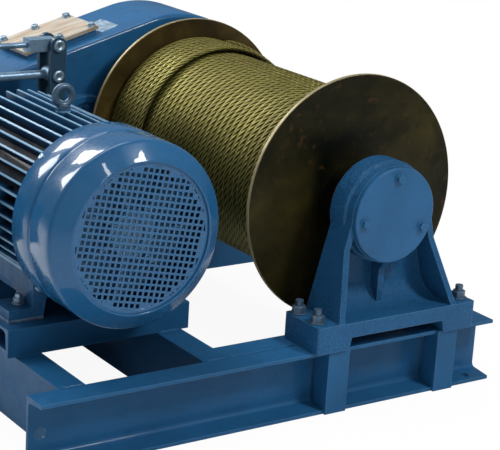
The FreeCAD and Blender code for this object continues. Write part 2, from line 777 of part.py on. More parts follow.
def reducer_base():
    body = new_body("reducer_base")
    walls = new_sketch(body, "XZ")
    outline(walls, [
        (CASE_LEFT + " + 30", "case_floor - axis_height"),
        ("case_low_radius - 70", "case_floor - axis_height"),
        ("case_low_radius", "case_floor - axis_height + 90"),
        ("case_low_radius", "0"),
        (CASE_LEFT, "0"),
        (CASE_LEFT, "case_floor - axis_height + 70"),
    ])
    pad(body, walls, "case_depth", True)
    foot = new_sketch(body, "XY", "-(axis_height - beam_height)")
    outline(foot, rectangle(CASE_LEFT, "case_low_radius - 20", "-case_foot_lip / 4",
                            "case_depth + case_foot_lip"))
    pad(body, foot, "case_foot_height")
    lip = new_sketch(body, "XZ", "0")
    outline(lip, rectangle(CASE_LEFT + " - split_lip", "case_low_radius + split_lip",
                           "-split_flange", "0"))
    pad(body, lip, "case_depth", True)
    for x, radius, _ in BOSSES:
        rib = new_sketch(body, "XZ", "boss_length * 0.7")
        outline(rib, rectangle("%s - rib_case / 2" % x, "%s + rib_case / 2" % x,
                               "-(axis_height - beam_height) + 2", "-(%s) + 2" % radius))
        pad(body, rib, "case_depth + boss_length * 1.4", True)
    case_bosses(body)
    upper = new_sketch(body, "XZ", "boss_length + split_lip + 1")
    outline(upper, rectangle("2 * " + CASE_LEFT, "2 * case_low_radius", "0", "2 * case_low_radius"))
    pocket(body, upper, "case_depth + 2 * boss_length + 2 * split_lip + 2")
    place(body, DRUM_X, along("case_front"), AXIS_Z)
    keep(body, "reducer_base")


def on_slope(reach, rise):
    """Point on the sloping top: reach along the slope from the hatch centre, rise off it."""
    foot = "(case_low_radius - hatch_place * %s) / %s" % (SINE, COSINE)
    x = "-hatch_place + (%s) * %s - (%s) * %s" % (reach, COSINE, rise, SINE)
    z = "%s + (%s) * %s + (%s) * %s" % (foot, reach, SINE, rise, COSINE)
    return x, z


def slope_plate(sketch, length, low, high):
    half = "(%s) / 2" % length
    outline(sketch, [
        on_slope("-" + half, low), on_slope(half, low),
        on_slope(half, high), on_slope("-" + half, high),
    ])


def open_below(body):
    """Cut a body away below the split of the case."""
    lower = new_sketch(body, "XZ", "boss_length + split_lip + 1")
    outline(lower, rectangle("2 * " + CASE_LEFT, "2 * case_low_radius", "-2 * case_low_radius", "0"))
    return pocket(body, lower, "case_depth + 2 * boss_length + 2 * split_lip + 2")


def round_edges(body, shell):
    """Round the outer edges of the cover, more at the back than in front."""
    for name, level in (("front", 0), ("back", size("case_depth"))):
        doc.recompute()

        def is_rim(centre, edge):
            return abs(centre.y - level) < 0.01 and centre.z > 1

        fillet = body.newObject("PartDesign::Fillet", "cover_%s_edge" % name)
        fillet.Base = (shell, edges_at(shell.Shape, is_rim))
        tie(fillet, "Radius", "case_%s_edge" % name)
        shell = fillet


def reducer_cover():
    body = new_body("reducer_cover")
    for x, radius in (("0", "case_low_radius"), ("-shaft_spacing", "case_high_radius")):
        end = new_sketch(body, "XZ")
        ring(end, x, "0", radius)
        pad(body, end, "case_depth", True)
    slope = new_sketch(body, "XZ")
    outline(slope, [
        ("0", "0"),
        ("-case_low_radius * " + SINE, "case_low_radius * " + COSINE),
        ("-shaft_spacing - case_high_radius * " + SINE, "case_high_radius * " + COSINE),
        ("-shaft_spacing", "0"),
    ])
    pad(body, slope, "case_depth", True)
    round_edges(body, open_below(body))
    rim = new_sketch(body, "XZ", "-(case_depth - hatch_width) / 2")
    slope_plate(rim, "hatch_length", "-4", "hatch_rim")
    pad(body, rim, "hatch_width", True)
    lip = new_sketch(body, "XZ")
    outline(lip, rectangle(CASE_LEFT + " - split_lip", "case_low_radius + split_lip",
                           "-1", "split_flange"))
    pad(body, lip, "case_depth", True)
    case_bosses(body)
    open_below(body)
    place(body, DRUM_X, along("case_front"), AXIS_Z)
    keep(body, "reducer_cover")


def reducer_hatch():
    body = new_body("inspection_cover")
    sketch = new_sketch(body, "XZ", "-((case_depth - hatch_width) / 2 - 6)")
    slope_plate(sketch, "hatch_length + 12", "hatch_rim", "hatch_rim + hatch_wall")
    pad(body, sketch, "hatch_width + 12", True)
    place(body, DRUM_X, along("case_front"), AXIS_Z)
    keep(body, "inspection_cover")


def reducer_caps():
    """Bearing caps in the boss recesses: bored where a shaft passes, blank elsewhere."""
    parts = []
    for number, (x, radius, shaft) in enumerate(BOSSES):
        centre = "(drum_x + (%s))" % x
        for side, distance in (("front", "case_front - boss_length + 5"),
                               ("back", "case_front + case_depth + boss_length - 5 - cap_wall")):
            name = "cap_%s_%d" % (side, number)
            cap = round_bar(name, radius + " - cap_inset - weld_gap", "cap_wall",
                            centre, along(distance), AXIS_Z)
            if shaft and side == "front":
                tool = round_bar(name + "_hole", shaft + " + 1", "cap_wall + 2",
                                 centre, along(distance + " - 1"), AXIS_Z)
                cap = minus(name + "_bored", cap, tool)
            parts.append(cap)
    together("reducer_bearing_caps", parts)


reducer_base()
reducer_cover()
reducer_hatch()
reducer_caps()

# --------------------------------------------------------------------------
# Motor: finned frame on feet, fan under a cowl with a square-holed grille
# --------------------------------------------------------------------------


def motor_frame():
    """Finned frame with feet; the body's own -Y is up."""
    body = new_body("motor_frame")
    tube = new_sketch(body, "XY")
    ring(tube, "0", "0", "frame_radius")
    pad(body, tube, "frame_length")
    fin = new_sketch(body, "XY")
    outline(fin, rectangle("frame_radius - 3", "fin_radius", "-fin_wall / 2", "fin_wall / 2"))
    first = pad(body, fin, "frame_length")
    fins = body.newObject("PartDesign::PolarPattern", "motor_fins")
    fins.Originals = [first]
    fins.Axis = (fin, ["N_Axis"])
    fins.Angle = 360
    tie(fins, "Occurrences", "fin_count")
    body.Tip = fins
    for side in (-1, 1):
        foot = new_sketch(body, "XY", "feet_place - frame_start - motor_foot_length / 2")
        half = "feet_across / 2"
        corners = [
            ("frame_radius * 0.55", "frame_radius * 0.6"),
            ("frame_radius * 0.92", "frame_radius * 0.45"),
            (half + " - 12", "motor_height - motor_foot_wall"),
            (half + " + motor_foot_width / 2", "motor_height - motor_foot_wall"),
            (half + " + motor_foot_width / 2", "motor_height"),
            (half + " - motor_foot_width / 2", "motor_height"),
            (half + " - motor_foot_width / 2 - 4", "motor_height - motor_foot_wall - 10"),
        ]
        outline(foot, corners if side > 0 else mirrored(corners))
        pad(body, foot, "feet_along + motor_foot_length")
    gap = new_sketch(body, "XY", "feet_place - frame_start + motor_foot_length / 2")
    outline(gap, rectangle("-feet_across", "feet_across", "fin_radius - 14", "motor_height + 1"))
    pocket(body, gap, "feet_along - motor_foot_length", True)
    for side in ("-", ""):
        for distance in ("feet_place - frame_start", "feet_place - frame_start + feet_along"):
            hole = new_sketch(body, "XZ", "-(motor_height + 1)")
            ring(hole, side + "feet_across / 2", distance, "foot_hole / 2")
            pocket(body, hole, "motor_foot_wall + 2", True)
    boss = new_sketch(body, "XZ", "frame_radius - 6")
    ring(boss, "0", "eye_place - frame_start", "eye_boss")
    pad(body, boss, "eye_boss_top - frame_radius + 6")
    seat = new_sketch(body, "YZ", "-(box_reach - box_depth)")
    outline(seat, rectangle("-box_height / 2 + 14", "box_height / 2 - 14",
                            "eye_place - frame_start - box_length / 2 + 14",
                            "eye_place - frame_start + box_length / 2 - 14"))
    pad(body, seat, "box_reach - box_depth - frame_radius + 10")
    bore = new_sketch(body, "XY", "-1")
    ring(bore, "0", "0", "frame_bore")
    pocket(body, bore, "frame_length + 2", True)
    place(body, MOTOR_X, along("frame_start"), AXIS_Z, ALONG_Y)
    keep(body, "motor_frame")


motor_frame()
SHIELD_BORE = "motor_shaft + 1"
fan_shield = turned("end_shield_fan", [
    (SHIELD_BORE, "0"), ("fan_hub", "0"), ("frame_radius - 20", "shield_length - shield_rim - 4"),
    ("frame_radius + 6", "shield_length - shield_rim"),
    ("frame_radius + 6", "shield_length - weld_gap"), (SHIELD_BORE, "shield_length - weld_gap"),
], MOTOR_X, along("frame_start - shield_length"), AXIS_Z)


def cowl_lugs(body):
    """Lugs round the shield that the fan cowl is screwed to."""
    sketch = new_sketch(body, "XY", "shield_length - shield_rim")
    outline(sketch, rectangle("frame_radius - shield_rim", "cowl_radius - cowl_wall - 2 * weld_gap",
                              "-cowl_lug / 2", "cowl_lug / 2"))
    first = pad(body, sketch, "shield_rim - weld_gap")
    lugs = body.newObject("PartDesign::PolarPattern", "cowl_lugs")
    lugs.Originals = [first]
    lugs.Axis = (sketch, ["N_Axis"])
    lugs.Angle = 360
    tie(lugs, "Occurrences", "cowl_lug_count")
    body.Tip = lugs


cowl_lugs(fan_shield)
turned("end_shield_drive", [
    (SHIELD_BORE, "weld_gap"), ("frame_radius + 6", "weld_gap"), ("frame_radius + 6", "16"),
    ("frame_radius - 16", "20"), ("64", "shield_length"), ("56", "shield_length + 22"),
    (SHIELD_BORE, "shield_length + 22"),
], MOTOR_X, along("frame_start + frame_length"), AXIS_Z)


def packing_plates():
    """Steel packing under the four motor feet."""
    parts = []
    for number, (side, distance) in enumerate([
            ("-", "feet_place"), ("+", "feet_place"),
            ("-", "feet_place + feet_along"), ("+", "feet_place + feet_along")]):
        x = "(%s %s feet_across / 2 - motor_foot_width / 2)" % (MOTOR_X, side)
        parts.append(block("packing_%d" % number, "motor_foot_width", "motor_foot_length",
                           "packing", x, along(distance + " - motor_foot_length / 2"),
                           SUPPORT_TOP))
    together("motor_packing", parts)


packing_plates()


def fan_cowl():
    body = new_body("fan_cowl")
    sketch = new_sketch(body, "XZ")
    inner = "cowl_radius - cowl_wall"
    groove = [
        ("0", "groove_place - groove_width / 2"),
        ("groove_depth", "groove_place - groove_width / 4"),
        ("groove_depth", "groove_place + groove_width / 4"),
        ("0", "groove_place + groove_width / 2"),
    ]
    outside = [("cowl_radius - " + depth, distance) for depth, distance in groove]
    inside = [(inner + " - " + depth, distance) for depth, distance in reversed(groove)]
    outline(sketch, [
        ("grille_radius", "0"), ("cowl_radius", "0"), *outside, ("cowl_radius", "cowl_length"),
        (inner, "cowl_length"), *inside, (inner, "cowl_wall"),
        ("grille_radius + cowl_wall", "cowl_wall"),
        ("grille_radius + cowl_wall", "grille_recess"), ("grille_radius", "grille_recess"),
    ])
    turn = body.newObject("PartDesign::Revolution", "fan_cowl_turn")
    turn.Profile = sketch
    turn.ReferenceAxis = (sketch, ["V_Axis"])
    turn.Angle = 360
    doc.recompute()
    for name, radius, level, text in (
            ("outer", size("cowl_radius"), 0, "cowl_corner"),
            ("inner", size("cowl_radius") - size("cowl_wall"), size("cowl_wall"),
             "cowl_corner - cowl_wall")):
        base = body.Tip

        def is_rim(centre, edge):
            curve = edge.Curve
            return (isinstance(curve, Part.Circle) and abs(curve.Radius - radius) < 0.01
                    and abs(curve.Center.z - level) < 0.01)

        fillet = body.newObject("PartDesign::Fillet", "fan_cowl_" + name)
        fillet.Base = (base, edges_at(base.Shape, is_rim))
        tie(fillet, "Radius", text)
        doc.recompute()
    place(body, MOTOR_X, along("cowl_front"), AXIS_Z, ALONG_Y)
    keep(body, "fan_cowl")


fan_cowl()


def fan_grille():
    """Recessed plate of the cowl with rows of square holes in a round field."""
    pitch, hole = size("mesh_pitch"), size("mesh_hole")
    wall, reach = size("cowl_wall"), size("mesh_radius")
    rim = Part.Wire([Part.makeCircle(size("grille_radius") - size("run_gap"))])
    count = int(reach / pitch) + 1
    squares = []
    for row in range(-count, count):
        for column in range(-count, count + 1):
            x, y = column * pitch, (row + 0.5) * pitch
            corner = (abs(x) + hole / 2) ** 2 + (abs(y) + hole / 2) ** 2
            if corner > reach ** 2:
                continue
            low_x, low_y = x - hole / 2, y - hole / 2
            square = Part.makePolygon([
                Vector(low_x, low_y, 0), Vector(low_x + hole, low_y, 0),
                Vector(low_x + hole, low_y + hole, 0), Vector(low_x, low_y + hole, 0),
                Vector(low_x, low_y, 0)])
            squares.append(square)
    plate = Part.makeFace([rim] + squares, "Part::FaceMakerBullseye").extrude(Vector(0, 0, wall))
    item = doc.addObject("Part::Feature", "grille")
    item.Shape = plate
    place(item, MOTOR_X, along("cowl_front + grille_recess - cowl_wall"), AXIS_Z, ALONG_Y)
    keep(item, "fan_grille")
    print("grille holes", len(squares))


fan_grille()


def cooling_fan():
    """Radial fan: hub, back disc and straight blades."""
    body = new_body("cooling_fan")
    sketch = new_sketch(body, "XZ")
    outline(sketch, [
        ("motor_shaft + weld_gap", "0"), ("fan_hub", "0"), ("fan_hub", "fan_length - 10"),
        ("fan_radius", "fan_length - 4"), ("fan_radius", "fan_length"),
        ("motor_shaft + weld_gap", "fan_length"),
    ])
    turn = body.newObject("PartDesign::Revolution", "fan_turn")
    turn.Profile = sketch
    turn.ReferenceAxis = (sketch, ["V_Axis"])
    turn.Angle = 360
    blade = new_sketch(body, "XY", "6")
    outline(blade, rectangle("fan_hub - 2", "fan_radius", "-blade_wall / 2", "blade_wall / 2"))
    first = pad(body, blade, "fan_length - 8")
    blades = body.newObject("PartDesign::PolarPattern", "fan_blades")
    blades.Originals = [first]
    blades.Axis = (blade, ["N_Axis"])
    blades.Angle = 360
    tie(blades, "Occurrences", "blade_count")
    body.Tip = blades
    place(body, MOTOR_X, along("cowl_front + fan_start"), AXIS_Z, ALONG_Y)
    keep(body, "cooling_fan")


cooling_fan()
turned("motor_shaft_bar", [
    ("0", "0"), ("motor_shaft", "0"), ("motor_shaft", "shaft_end - cowl_front - 22"),
    ("0", "shaft_end - cowl_front - 22"),
], MOTOR_X, along("cowl_front + 22"), AXIS_Z)


def terminal_box():
    """Box with a wider lid on the outer side of the motor."""
    box = block("box", "box_depth - weld_gap", "box_length", "box_height",
                "(%s - box_reach)" % MOTOR_X, along("eye_place - box_length / 2"),
                "(axis_height - box_height / 2)")
    lid = block("lid", "box_lid", "box_length + box_lid", "box_height + box_lid",
                "(%s - box_reach - box_lid)" % MOTOR_X,
                along("eye_place - (box_length + box_lid) / 2"),
                "(axis_height - (box_height + box_lid) / 2)")
    keep(joined("box_with_lid", [box, lid]), "terminal_box")


terminal_box()


def lifting_eye():
    """Eye bolt: a ring standing across the motor on a low collar."""
    ring_bar = primitive("Torus", "eye_ring", Radius1="eye_radius", Radius2="eye_bar")
    centre = "(axis_height + eye_boss_top + eye_radius + eye_bar)"
    place(ring_bar, MOTOR_X, along("eye_place"), centre, ALONG_Y)
    collar = round_bar("eye_collar", "eye_boss - 2", "eye_bar", MOTOR_X, along("eye_place"),
                       "(axis_height + eye_boss_top)", UPRIGHT)
    keep(joined("eye", [ring_bar, collar]), "lifting_eye")


lifting_eye()

# --------------------------------------------------------------------------
# Block brake between motor and reducer
# --------------------------------------------------------------------------
WHEEL_FRONT = "(wheel_place - wheel_width / 2)"
turned("brake_wheel", [
    ("motor_shaft + weld_gap", "0"), ("wheel_hub", "0"), ("wheel_hub", "wheel_width / 2 - 7"),
    ("wheel_radius - 12", "wheel_width / 2 - 7"), ("wheel_radius - 12", "0"),
    ("wheel_radius", "0"), ("wheel_radius", "wheel_width"), ("wheel_radius - 12", "wheel_width"),
    ("wheel_radius - 12", "wheel_width / 2 + 7"), ("wheel_hub", "wheel_width / 2 + 7"),
    ("wheel_hub", "wheel_width"), ("motor_shaft + weld_gap", "wheel_width"),
], MOTOR_X, along(WHEEL_FRONT), AXIS_Z)
turned("input_shaft", [
    ("0", "0"), ("input_radius", "0"), ("input_radius", "case_front + 90 - shaft_end - 1"),
    ("0", "case_front + 90 - shaft_end - 1"),
], MOTOR_X, along("shaft_end + 1"), AXIS_Z)

PIVOT_Z = "(axis_height - pivot_drop)"


def brake_stand():
    """Base plate, two pairs of ears and the two pivot pins."""
    reach = "(arm_offset + 52)"
    parts = [block("stand_plate", "2 * " + reach, "wheel_width + 36", "stand_wall",
                   "(%s - %s)" % (MOTOR_X, reach), along("wheel_place - wheel_width / 2 - 18"),
                   SUPPORT_TOP)]
    ear_in = "(arm_gap / 2 + arm_plate + 1)"
    for side, sign in (("left", "-"), ("right", "+")):
        x = "(%s %s arm_offset)" % (MOTOR_X, sign)
        for end, distance in (("front", "wheel_place - %s - ear_wall" % ear_in),
                              ("rear", "wheel_place + " + ear_in)):
            name = "ear_%s_%s" % (side, end)
            parts.append(block(name, "arm_width", "ear_wall",
                               "axis_height - pivot_drop - beam_height - beam_flange - 1",
                               "(%s - arm_width / 2)" % x, along(distance),
                               "(%s + 1)" % SUPPORT_TOP))
            parts.append(round_bar(name + "_top", "arm_width / 2", "ear_wall",
                                   x, along(distance), PIVOT_Z))
        parts.append(round_bar("pivot_" + side, "pin_radius", "2 * (%s + ear_wall + 3)" % ear_in,
                               x, along("wheel_place - %s - ear_wall - 3" % ear_in), PIVOT_Z))
    keep(joined("stand", parts), "brake_stand")


brake_stand()
ARM_FRONT = "(wheel_place - arm_gap / 2 - arm_plate)"
PIN_LENGTH = "(arm_gap + 2 * arm_plate + 2 * pin_head)"
TOP_PIN_Z, ROD_PIN_Z = "(axis_height + arm_top)", "(axis_height + rod_height)"
ALONG_X = Rotation(Vector(0, 1, 0), Vector(0, 0, 1), Vector(1, 0, 0), "XYZ")
LEFT_ARM, RIGHT_ARM = "(%s - arm_offset)" % MOTOR_X, "(%s + arm_offset)" % MOTOR_X


def arm_pin(name, x, z):
    """Pin through both plates of an arm."""
    return round_bar(name, "pin_radius", PIN_LENGTH, x, along(ARM_FRONT + " - pin_head"), z)


def arm_plates(side, x):
    """Two plates with rounded ends and the holes for the pivot and the shoe pin."""
    parts = []
    for end, distance in (("front", ARM_FRONT), ("rear", "(wheel_place + arm_gap / 2)")):
        name = "arm_%s_%s" % (side, end)
        parts.append(block(name, "arm_width", "arm_plate", "arm_top + pivot_drop",
                           "(%s - arm_width / 2)" % x, along(distance), PIVOT_Z))
        for level, z in (("low", PIVOT_Z), ("high", TOP_PIN_Z)):
            parts.append(round_bar("%s_%s" % (name, level), "arm_width / 2", "arm_plate",
                                   x, along(distance), z))
    return parts


def arm_holes(side, x):
    parts = []
    for name, z, radius in (("pivot", PIVOT_Z, "pin_radius + pin_clearance"),
                            ("shoe", AXIS_Z, "pin_radius + weld_gap")):
        parts.append(round_bar("arm_%s_hole_%s" % (side, name), radius, PIN_LENGTH,
                               x, along(ARM_FRONT + " - pin_head"), z))
    return parts


def right_arm():
    """Arm whose two pins carry the rods."""
    solid = joined("arm_right_solid", arm_plates("right", RIGHT_ARM) + [
        arm_pin("arm_right_top_pin", RIGHT_ARM, TOP_PIN_Z),
        arm_pin("arm_right_rod_pin", RIGHT_ARM, ROD_PIN_Z)])
    holes = joined("arm_right_holes", arm_holes("right", RIGHT_ARM))
    keep(minus("arm_right", solid, holes), "brake_arm_right")


def left_arm():
    """Arm with two trunnions that the rods slide through."""
    parts, holes = arm_plates("left", LEFT_ARM), arm_holes("left", LEFT_ARM)
    for name, z, radius in (("top", TOP_PIN_Z, "release_radius"), ("rod", ROD_PIN_Z, "rod_radius")):
        parts.append(arm_pin("arm_left_pin_" + name, LEFT_ARM, z))
        parts.append(round_bar("trunnion_" + name, "trunnion_radius", "arm_gap", LEFT_ARM,
                               along("wheel_place - arm_gap / 2"), z))
        holes.append(round_bar("trunnion_hole_" + name, radius + " + rod_clearance",
                               "3 * trunnion_radius", "(%s - 1.5 * trunnion_radius)" % LEFT_ARM,
                               along("wheel_place"), z, ALONG_X))
    solid = joined("arm_left_solid", parts)
    keep(minus("arm_left", solid, joined("arm_left_holes", holes)), "brake_arm_left")


def brake_shoe(side, x, turn):
    """Lined shoe: a ring sector with a lug and pin between the arm plates."""
    lining = "(wheel_radius + lining_gap)"
    rotation = ALONG_Y.multiply(Rotation(Vector(0, 0, 1), turn - size("shoe_angle")))
    sector = round_bar("shoe_" + side, lining + " + lining_wall + shoe_wall", "shoe_width",
                       MOTOR_X, along("wheel_place - shoe_width / 2"), AXIS_Z, rotation)
    tie(sector, "Angle", "2 * shoe_angle")
    hollow = round_bar("shoe_hollow_" + side, lining, "shoe_width", MOTOR_X,
                       along("wheel_place - shoe_width / 2"), AXIS_Z)
    inner_end = "lug_reach" if side == "right" else "0"
    lug = block("shoe_lug_" + side, "arm_width + lug_reach", "arm_gap - 2 * lug_play",
                "lug_height", "(%s - arm_width / 2 - %s)" % (x, inner_end),
                along("wheel_place - arm_gap / 2 + lug_play"),
                "(axis_height - lug_height / 2)")
    pin = arm_pin("shoe_pin_" + side, x, AXIS_Z)
    crescent = minus("shoe_cut_" + side, sector, hollow)
    keep(joined("shoe_solid_" + side, [crescent, lug, pin]), "brake_shoe_" + side)


right_arm()
left_arm()
brake_shoe("right", RIGHT_ARM, 0)
brake_shoe("left", LEFT_ARM, 180)

ROD_Y = along("wheel_place")
EYE_Y = along("wheel_place - arm_gap / 2 + rod_play")
EYE_LENGTH = "(arm_gap - 2 * rod_play)"


def spring_rod():
    """Rod with an eye on the right arm's lower pin, its free end through the left arm."""
    eye = round_bar("rod_eye", "rod_radius + eye_wall", EYE_LENGTH, RIGHT_ARM, EYE_Y, ROD_PIN_Z)
    bar = round_bar("rod_bar", "rod_radius", "2 * arm_offset + rod_end",
                    "(%s - rod_end)" % LEFT_ARM, ROD_Y, ROD_PIN_Z, ALONG_X)
    hole = round_bar("rod_hole", "pin_radius + weld_gap", EYE_LENGTH, RIGHT_ARM, EYE_Y, ROD_PIN_Z)
    keep(minus("rod", joined("rod_solid", [eye, bar]), hole), "spring_rod")


def brake_spring():
    """Coil spring round the rod, drawn as a sleeve."""
    start = "(%s + spring_place)" % LEFT_ARM
    outer = round_bar("spring_outer", "spring_radius", "spring_length",
                      start, ROD_Y, ROD_PIN_Z, ALONG_X)
    inner = round_bar("spring_inner", "rod_radius + weld_gap", "spring_length",
                      start, ROD_Y, ROD_PIN_Z, ALONG_X)
    keep(minus("spring", outer, inner), "brake_spring")


def release_rod():
    """Rod with a square-sided head on the right arm's top pin."""
    head = block("head", "head_length", EYE_LENGTH, "head_height",
                 "(%s - head_length)" % RIGHT_ARM, EYE_Y, "(%s - head_height / 2)" % TOP_PIN_Z)
    nose = round_bar("head_nose", "head_height / 2", EYE_LENGTH, RIGHT_ARM, EYE_Y, TOP_PIN_Z)
    bar = round_bar("release_bar", "release_radius", "2 * arm_offset + release_end - head_length / 2",
                    "(%s - release_end)" % LEFT_ARM, ROD_Y, TOP_PIN_Z, ALONG_X)
    hole = round_bar("head_hole", "pin_radius + weld_gap", EYE_LENGTH, RIGHT_ARM, EYE_Y, TOP_PIN_Z)
    keep(minus("release", joined("release_solid", [head, nose, bar]), hole), "release_rod")


def release_magnet():
    """Short-stroke magnet on the outside of the left arm, open round the rod ends."""
    x = "(%s - arm_width / 2 - magnet_width - weld_gap)" % LEFT_ARM
    case = block("magnet_case", "magnet_width", "magnet_depth", "magnet_height", x,
                 along("wheel_place - magnet_depth / 2"), "(%s - magnet_drop)" % ROD_PIN_Z)
    slot = block("magnet_slot", "magnet_width", "magnet_slot_width", "magnet_height",
                 "(%s + magnet_wall)" % x, along("wheel_place - magnet_slot_width / 2"),
                 "(%s - magnet_slot_depth)" % ROD_PIN_Z)
    keep(minus("magnet", case, slot), "release_magnet")


spring_rod()
brake_spring()
release_rod()
release_magnet()

# --------------------------------------------------------------------------
# Check and write
# --------------------------------------------------------------------------
doc.recompute()
problems = []
for item in doc.Objects:
    if "Invalid" in item.State or "Error" in item.State:
        problems.append("%s (%s): %s" % (item.Name, item.Label, item.State))
labels = [item.Label for item in PIECES]
if len(set(labels)) != len(labels):
    problems.append("two pieces share a label")
for item in PIECES:
    if item.Shape.isNull() or not item.Shape.isValid() or not item.Shape.Solids:
        problems.append("bad shape: " + item.Label)
if problems:
    raise RuntimeError("\n".join(problems))
os.makedirs("parts", exist_ok=True)
for item in PIECES:
    item.Shape.exportStep("parts/%s.step" % item.Label)
print(len(PIECES), "pieces written")
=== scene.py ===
"""Looks of the mooring winch: paint, oiled steel, wound rope, fasteners and welds."""
import json
import math
import random

import bmesh
import bpy
import numpy as np
from mathutils import Matrix, Vector


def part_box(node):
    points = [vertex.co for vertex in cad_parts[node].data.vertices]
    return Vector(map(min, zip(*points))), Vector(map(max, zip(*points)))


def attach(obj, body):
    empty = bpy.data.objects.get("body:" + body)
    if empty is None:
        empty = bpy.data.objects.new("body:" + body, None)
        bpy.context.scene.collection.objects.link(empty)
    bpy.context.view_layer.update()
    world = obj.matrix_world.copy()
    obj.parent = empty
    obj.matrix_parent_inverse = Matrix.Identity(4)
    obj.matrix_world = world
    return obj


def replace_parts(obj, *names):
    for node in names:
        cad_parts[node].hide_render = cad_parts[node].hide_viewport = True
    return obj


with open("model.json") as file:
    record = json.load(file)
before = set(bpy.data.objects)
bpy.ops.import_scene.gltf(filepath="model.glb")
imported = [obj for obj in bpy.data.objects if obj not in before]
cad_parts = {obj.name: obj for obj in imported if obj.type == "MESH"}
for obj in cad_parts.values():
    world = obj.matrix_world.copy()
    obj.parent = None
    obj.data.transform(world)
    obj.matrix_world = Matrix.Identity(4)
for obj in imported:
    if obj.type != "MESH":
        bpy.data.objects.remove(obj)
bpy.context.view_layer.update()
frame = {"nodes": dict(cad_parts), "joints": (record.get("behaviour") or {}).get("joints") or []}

random.seed(7)

# Places from the frame, in metres: drum along Y, front at the lowest Y
JOINTS = {joint["name"]: Vector(joint["pos_m"]) for joint in frame["joints"]}
DRUM, MOTOR = JOINTS["drum_turn"], JOINTS["motor_turn"]
FRONT, BEAM_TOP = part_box("front_beam")[0].y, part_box("front_beam")[1].z
FLANGE_WIDTH = 0.053  # of the channels
X, Y, Z = Vector((1, 0, 0)), Vector((0, 1, 0)), Vector((0, 0, 1))


def radius_of(node):
    """Radius of a node that is round about a Y axis."""
    low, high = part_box(node)
    return (high.x - low.x) / 2


# --------------------------------------------------------------------------
# Materials
# --------------------------------------------------------------------------


def new_node(tree, kind, inputs=None, **settings):
    """Node of a kind; each input is a socket to link or a value to set."""
    made = tree.nodes.new(kind)
    for setting, value in settings.items():
        setattr(made, setting, value)
    for socket, value in (inputs or {}).items():
        if isinstance(value, bpy.types.NodeSocket):
            tree.links.new(value, made.inputs[socket])
        else:
            made.inputs[socket].default_value = value
    return made


class Finish:
    """A procedural material and the nodes that feed its shader."""

    def __init__(self, name, **values):
        self.material = bpy.data.materials.new(name)
        self.material.use_nodes = True
        self.tree = self.material.node_tree
        self.shader = self.tree.nodes["Principled BSDF"]
        self.where = self.node("ShaderNodeTexCoord").outputs["Object"]
        for socket, value in values.items():
            self.shader.inputs[socket.replace("_", " ")].default_value = value

    def node(self, kind, inputs=None, **settings):
        """New node of this material."""
        return new_node(self.tree, kind, inputs, **settings)

    def feed(self, socket, value):
        """Link a value to one of the inputs of the shader."""
        self.tree.links.new(value, self.shader.inputs[socket])

    def noise(self, scale, detail=3.0, vector=None, distortion=0.0):
        """Noise in object space, or along a vector given."""
        inputs = {"Vector": vector or self.where, "Scale": scale, "Detail": detail,
                  "Distortion": distortion}
        return self.node("ShaderNodeTexNoise", inputs).outputs[0]

    def ramp(self, value, low, high, start=0.0, end=1.0):
        """Spread the range low to high over start to end, and clamp it."""
        inputs = {"Value": value, "From Min": low, "From Max": high, "To Min": start, "To Max": end}
        return self.node("ShaderNodeMapRange", inputs).outputs[0]

    def math(self, operation, first, second):
        """Result of one sum on two values."""
        return self.node("ShaderNodeMath", {0: first, 1: second}, operation=operation).outputs[0]

    def mix(self, factor, first, second):
        """Blend two colours, each a socket or three numbers."""
        first, second = (value if isinstance(value, bpy.types.NodeSocket) else (*value, 1.0)
                         for value in (first, second))
        inputs = {0: factor, 6: first, 7: second}
        return self.node("ShaderNodeMix", inputs, data_type="RGBA").outputs[2]

    def bump(self, height, distance, normal=None):
        """Normal with relief of a height socket, a distance in metres."""
        inputs = {"Height": height, "Distance": distance, "Strength": 1.0}
        if normal:
            inputs["Normal"] = normal
        return self.node("ShaderNodeBump", inputs).outputs[0]

    def soft_edges(self, radius):
        """Rounded shading normal, and a mask that is high along outer edges."""
        soft = self.node("ShaderNodeBevel", {"Radius": radius}, samples=6).outputs[0]
        flat = self.node("ShaderNodeNewGeometry").outputs["Normal"]
        dot = self.node("ShaderNodeVectorMath", {0: soft, 1: flat}, operation="DOT_PRODUCT")
        return soft, self.ramp(dot.outputs["Value"], 0.999, 0.86)

    def around(self, centre):
        """Distance from an axis along Y, for turned faces."""
        inputs = {0: self.where, 1: (centre.x, 0.0, centre.z)}
        moved = self.node("ShaderNodeVectorMath", inputs, operation="SUBTRACT").outputs[0]
        inputs = {0: moved, 1: (1.0, 0.0, 1.0)}
        level = self.node("ShaderNodeVectorMath", inputs, operation="MULTIPLY").outputs[0]
        length = self.node("ShaderNodeVectorMath", {0: level}, operation="LENGTH")
        return length.outputs["Value"]


def scaled(colour, factor):
    """Colour made lighter or darker by a factor."""
    return tuple(min(1.0, part * factor) for part in colour)


# Radii about the motor's axis: full painted shade between the fins, paint without painted shade,
# painted highlight on the tips
FIN_SHADE_FULL, FIN_SHADE_NONE = 0.139, 0.158
TIP_START, TIP_FULL, TIP_FADE, TIP_END = 0.1600, 0.1622, 0.1636, 0.1650


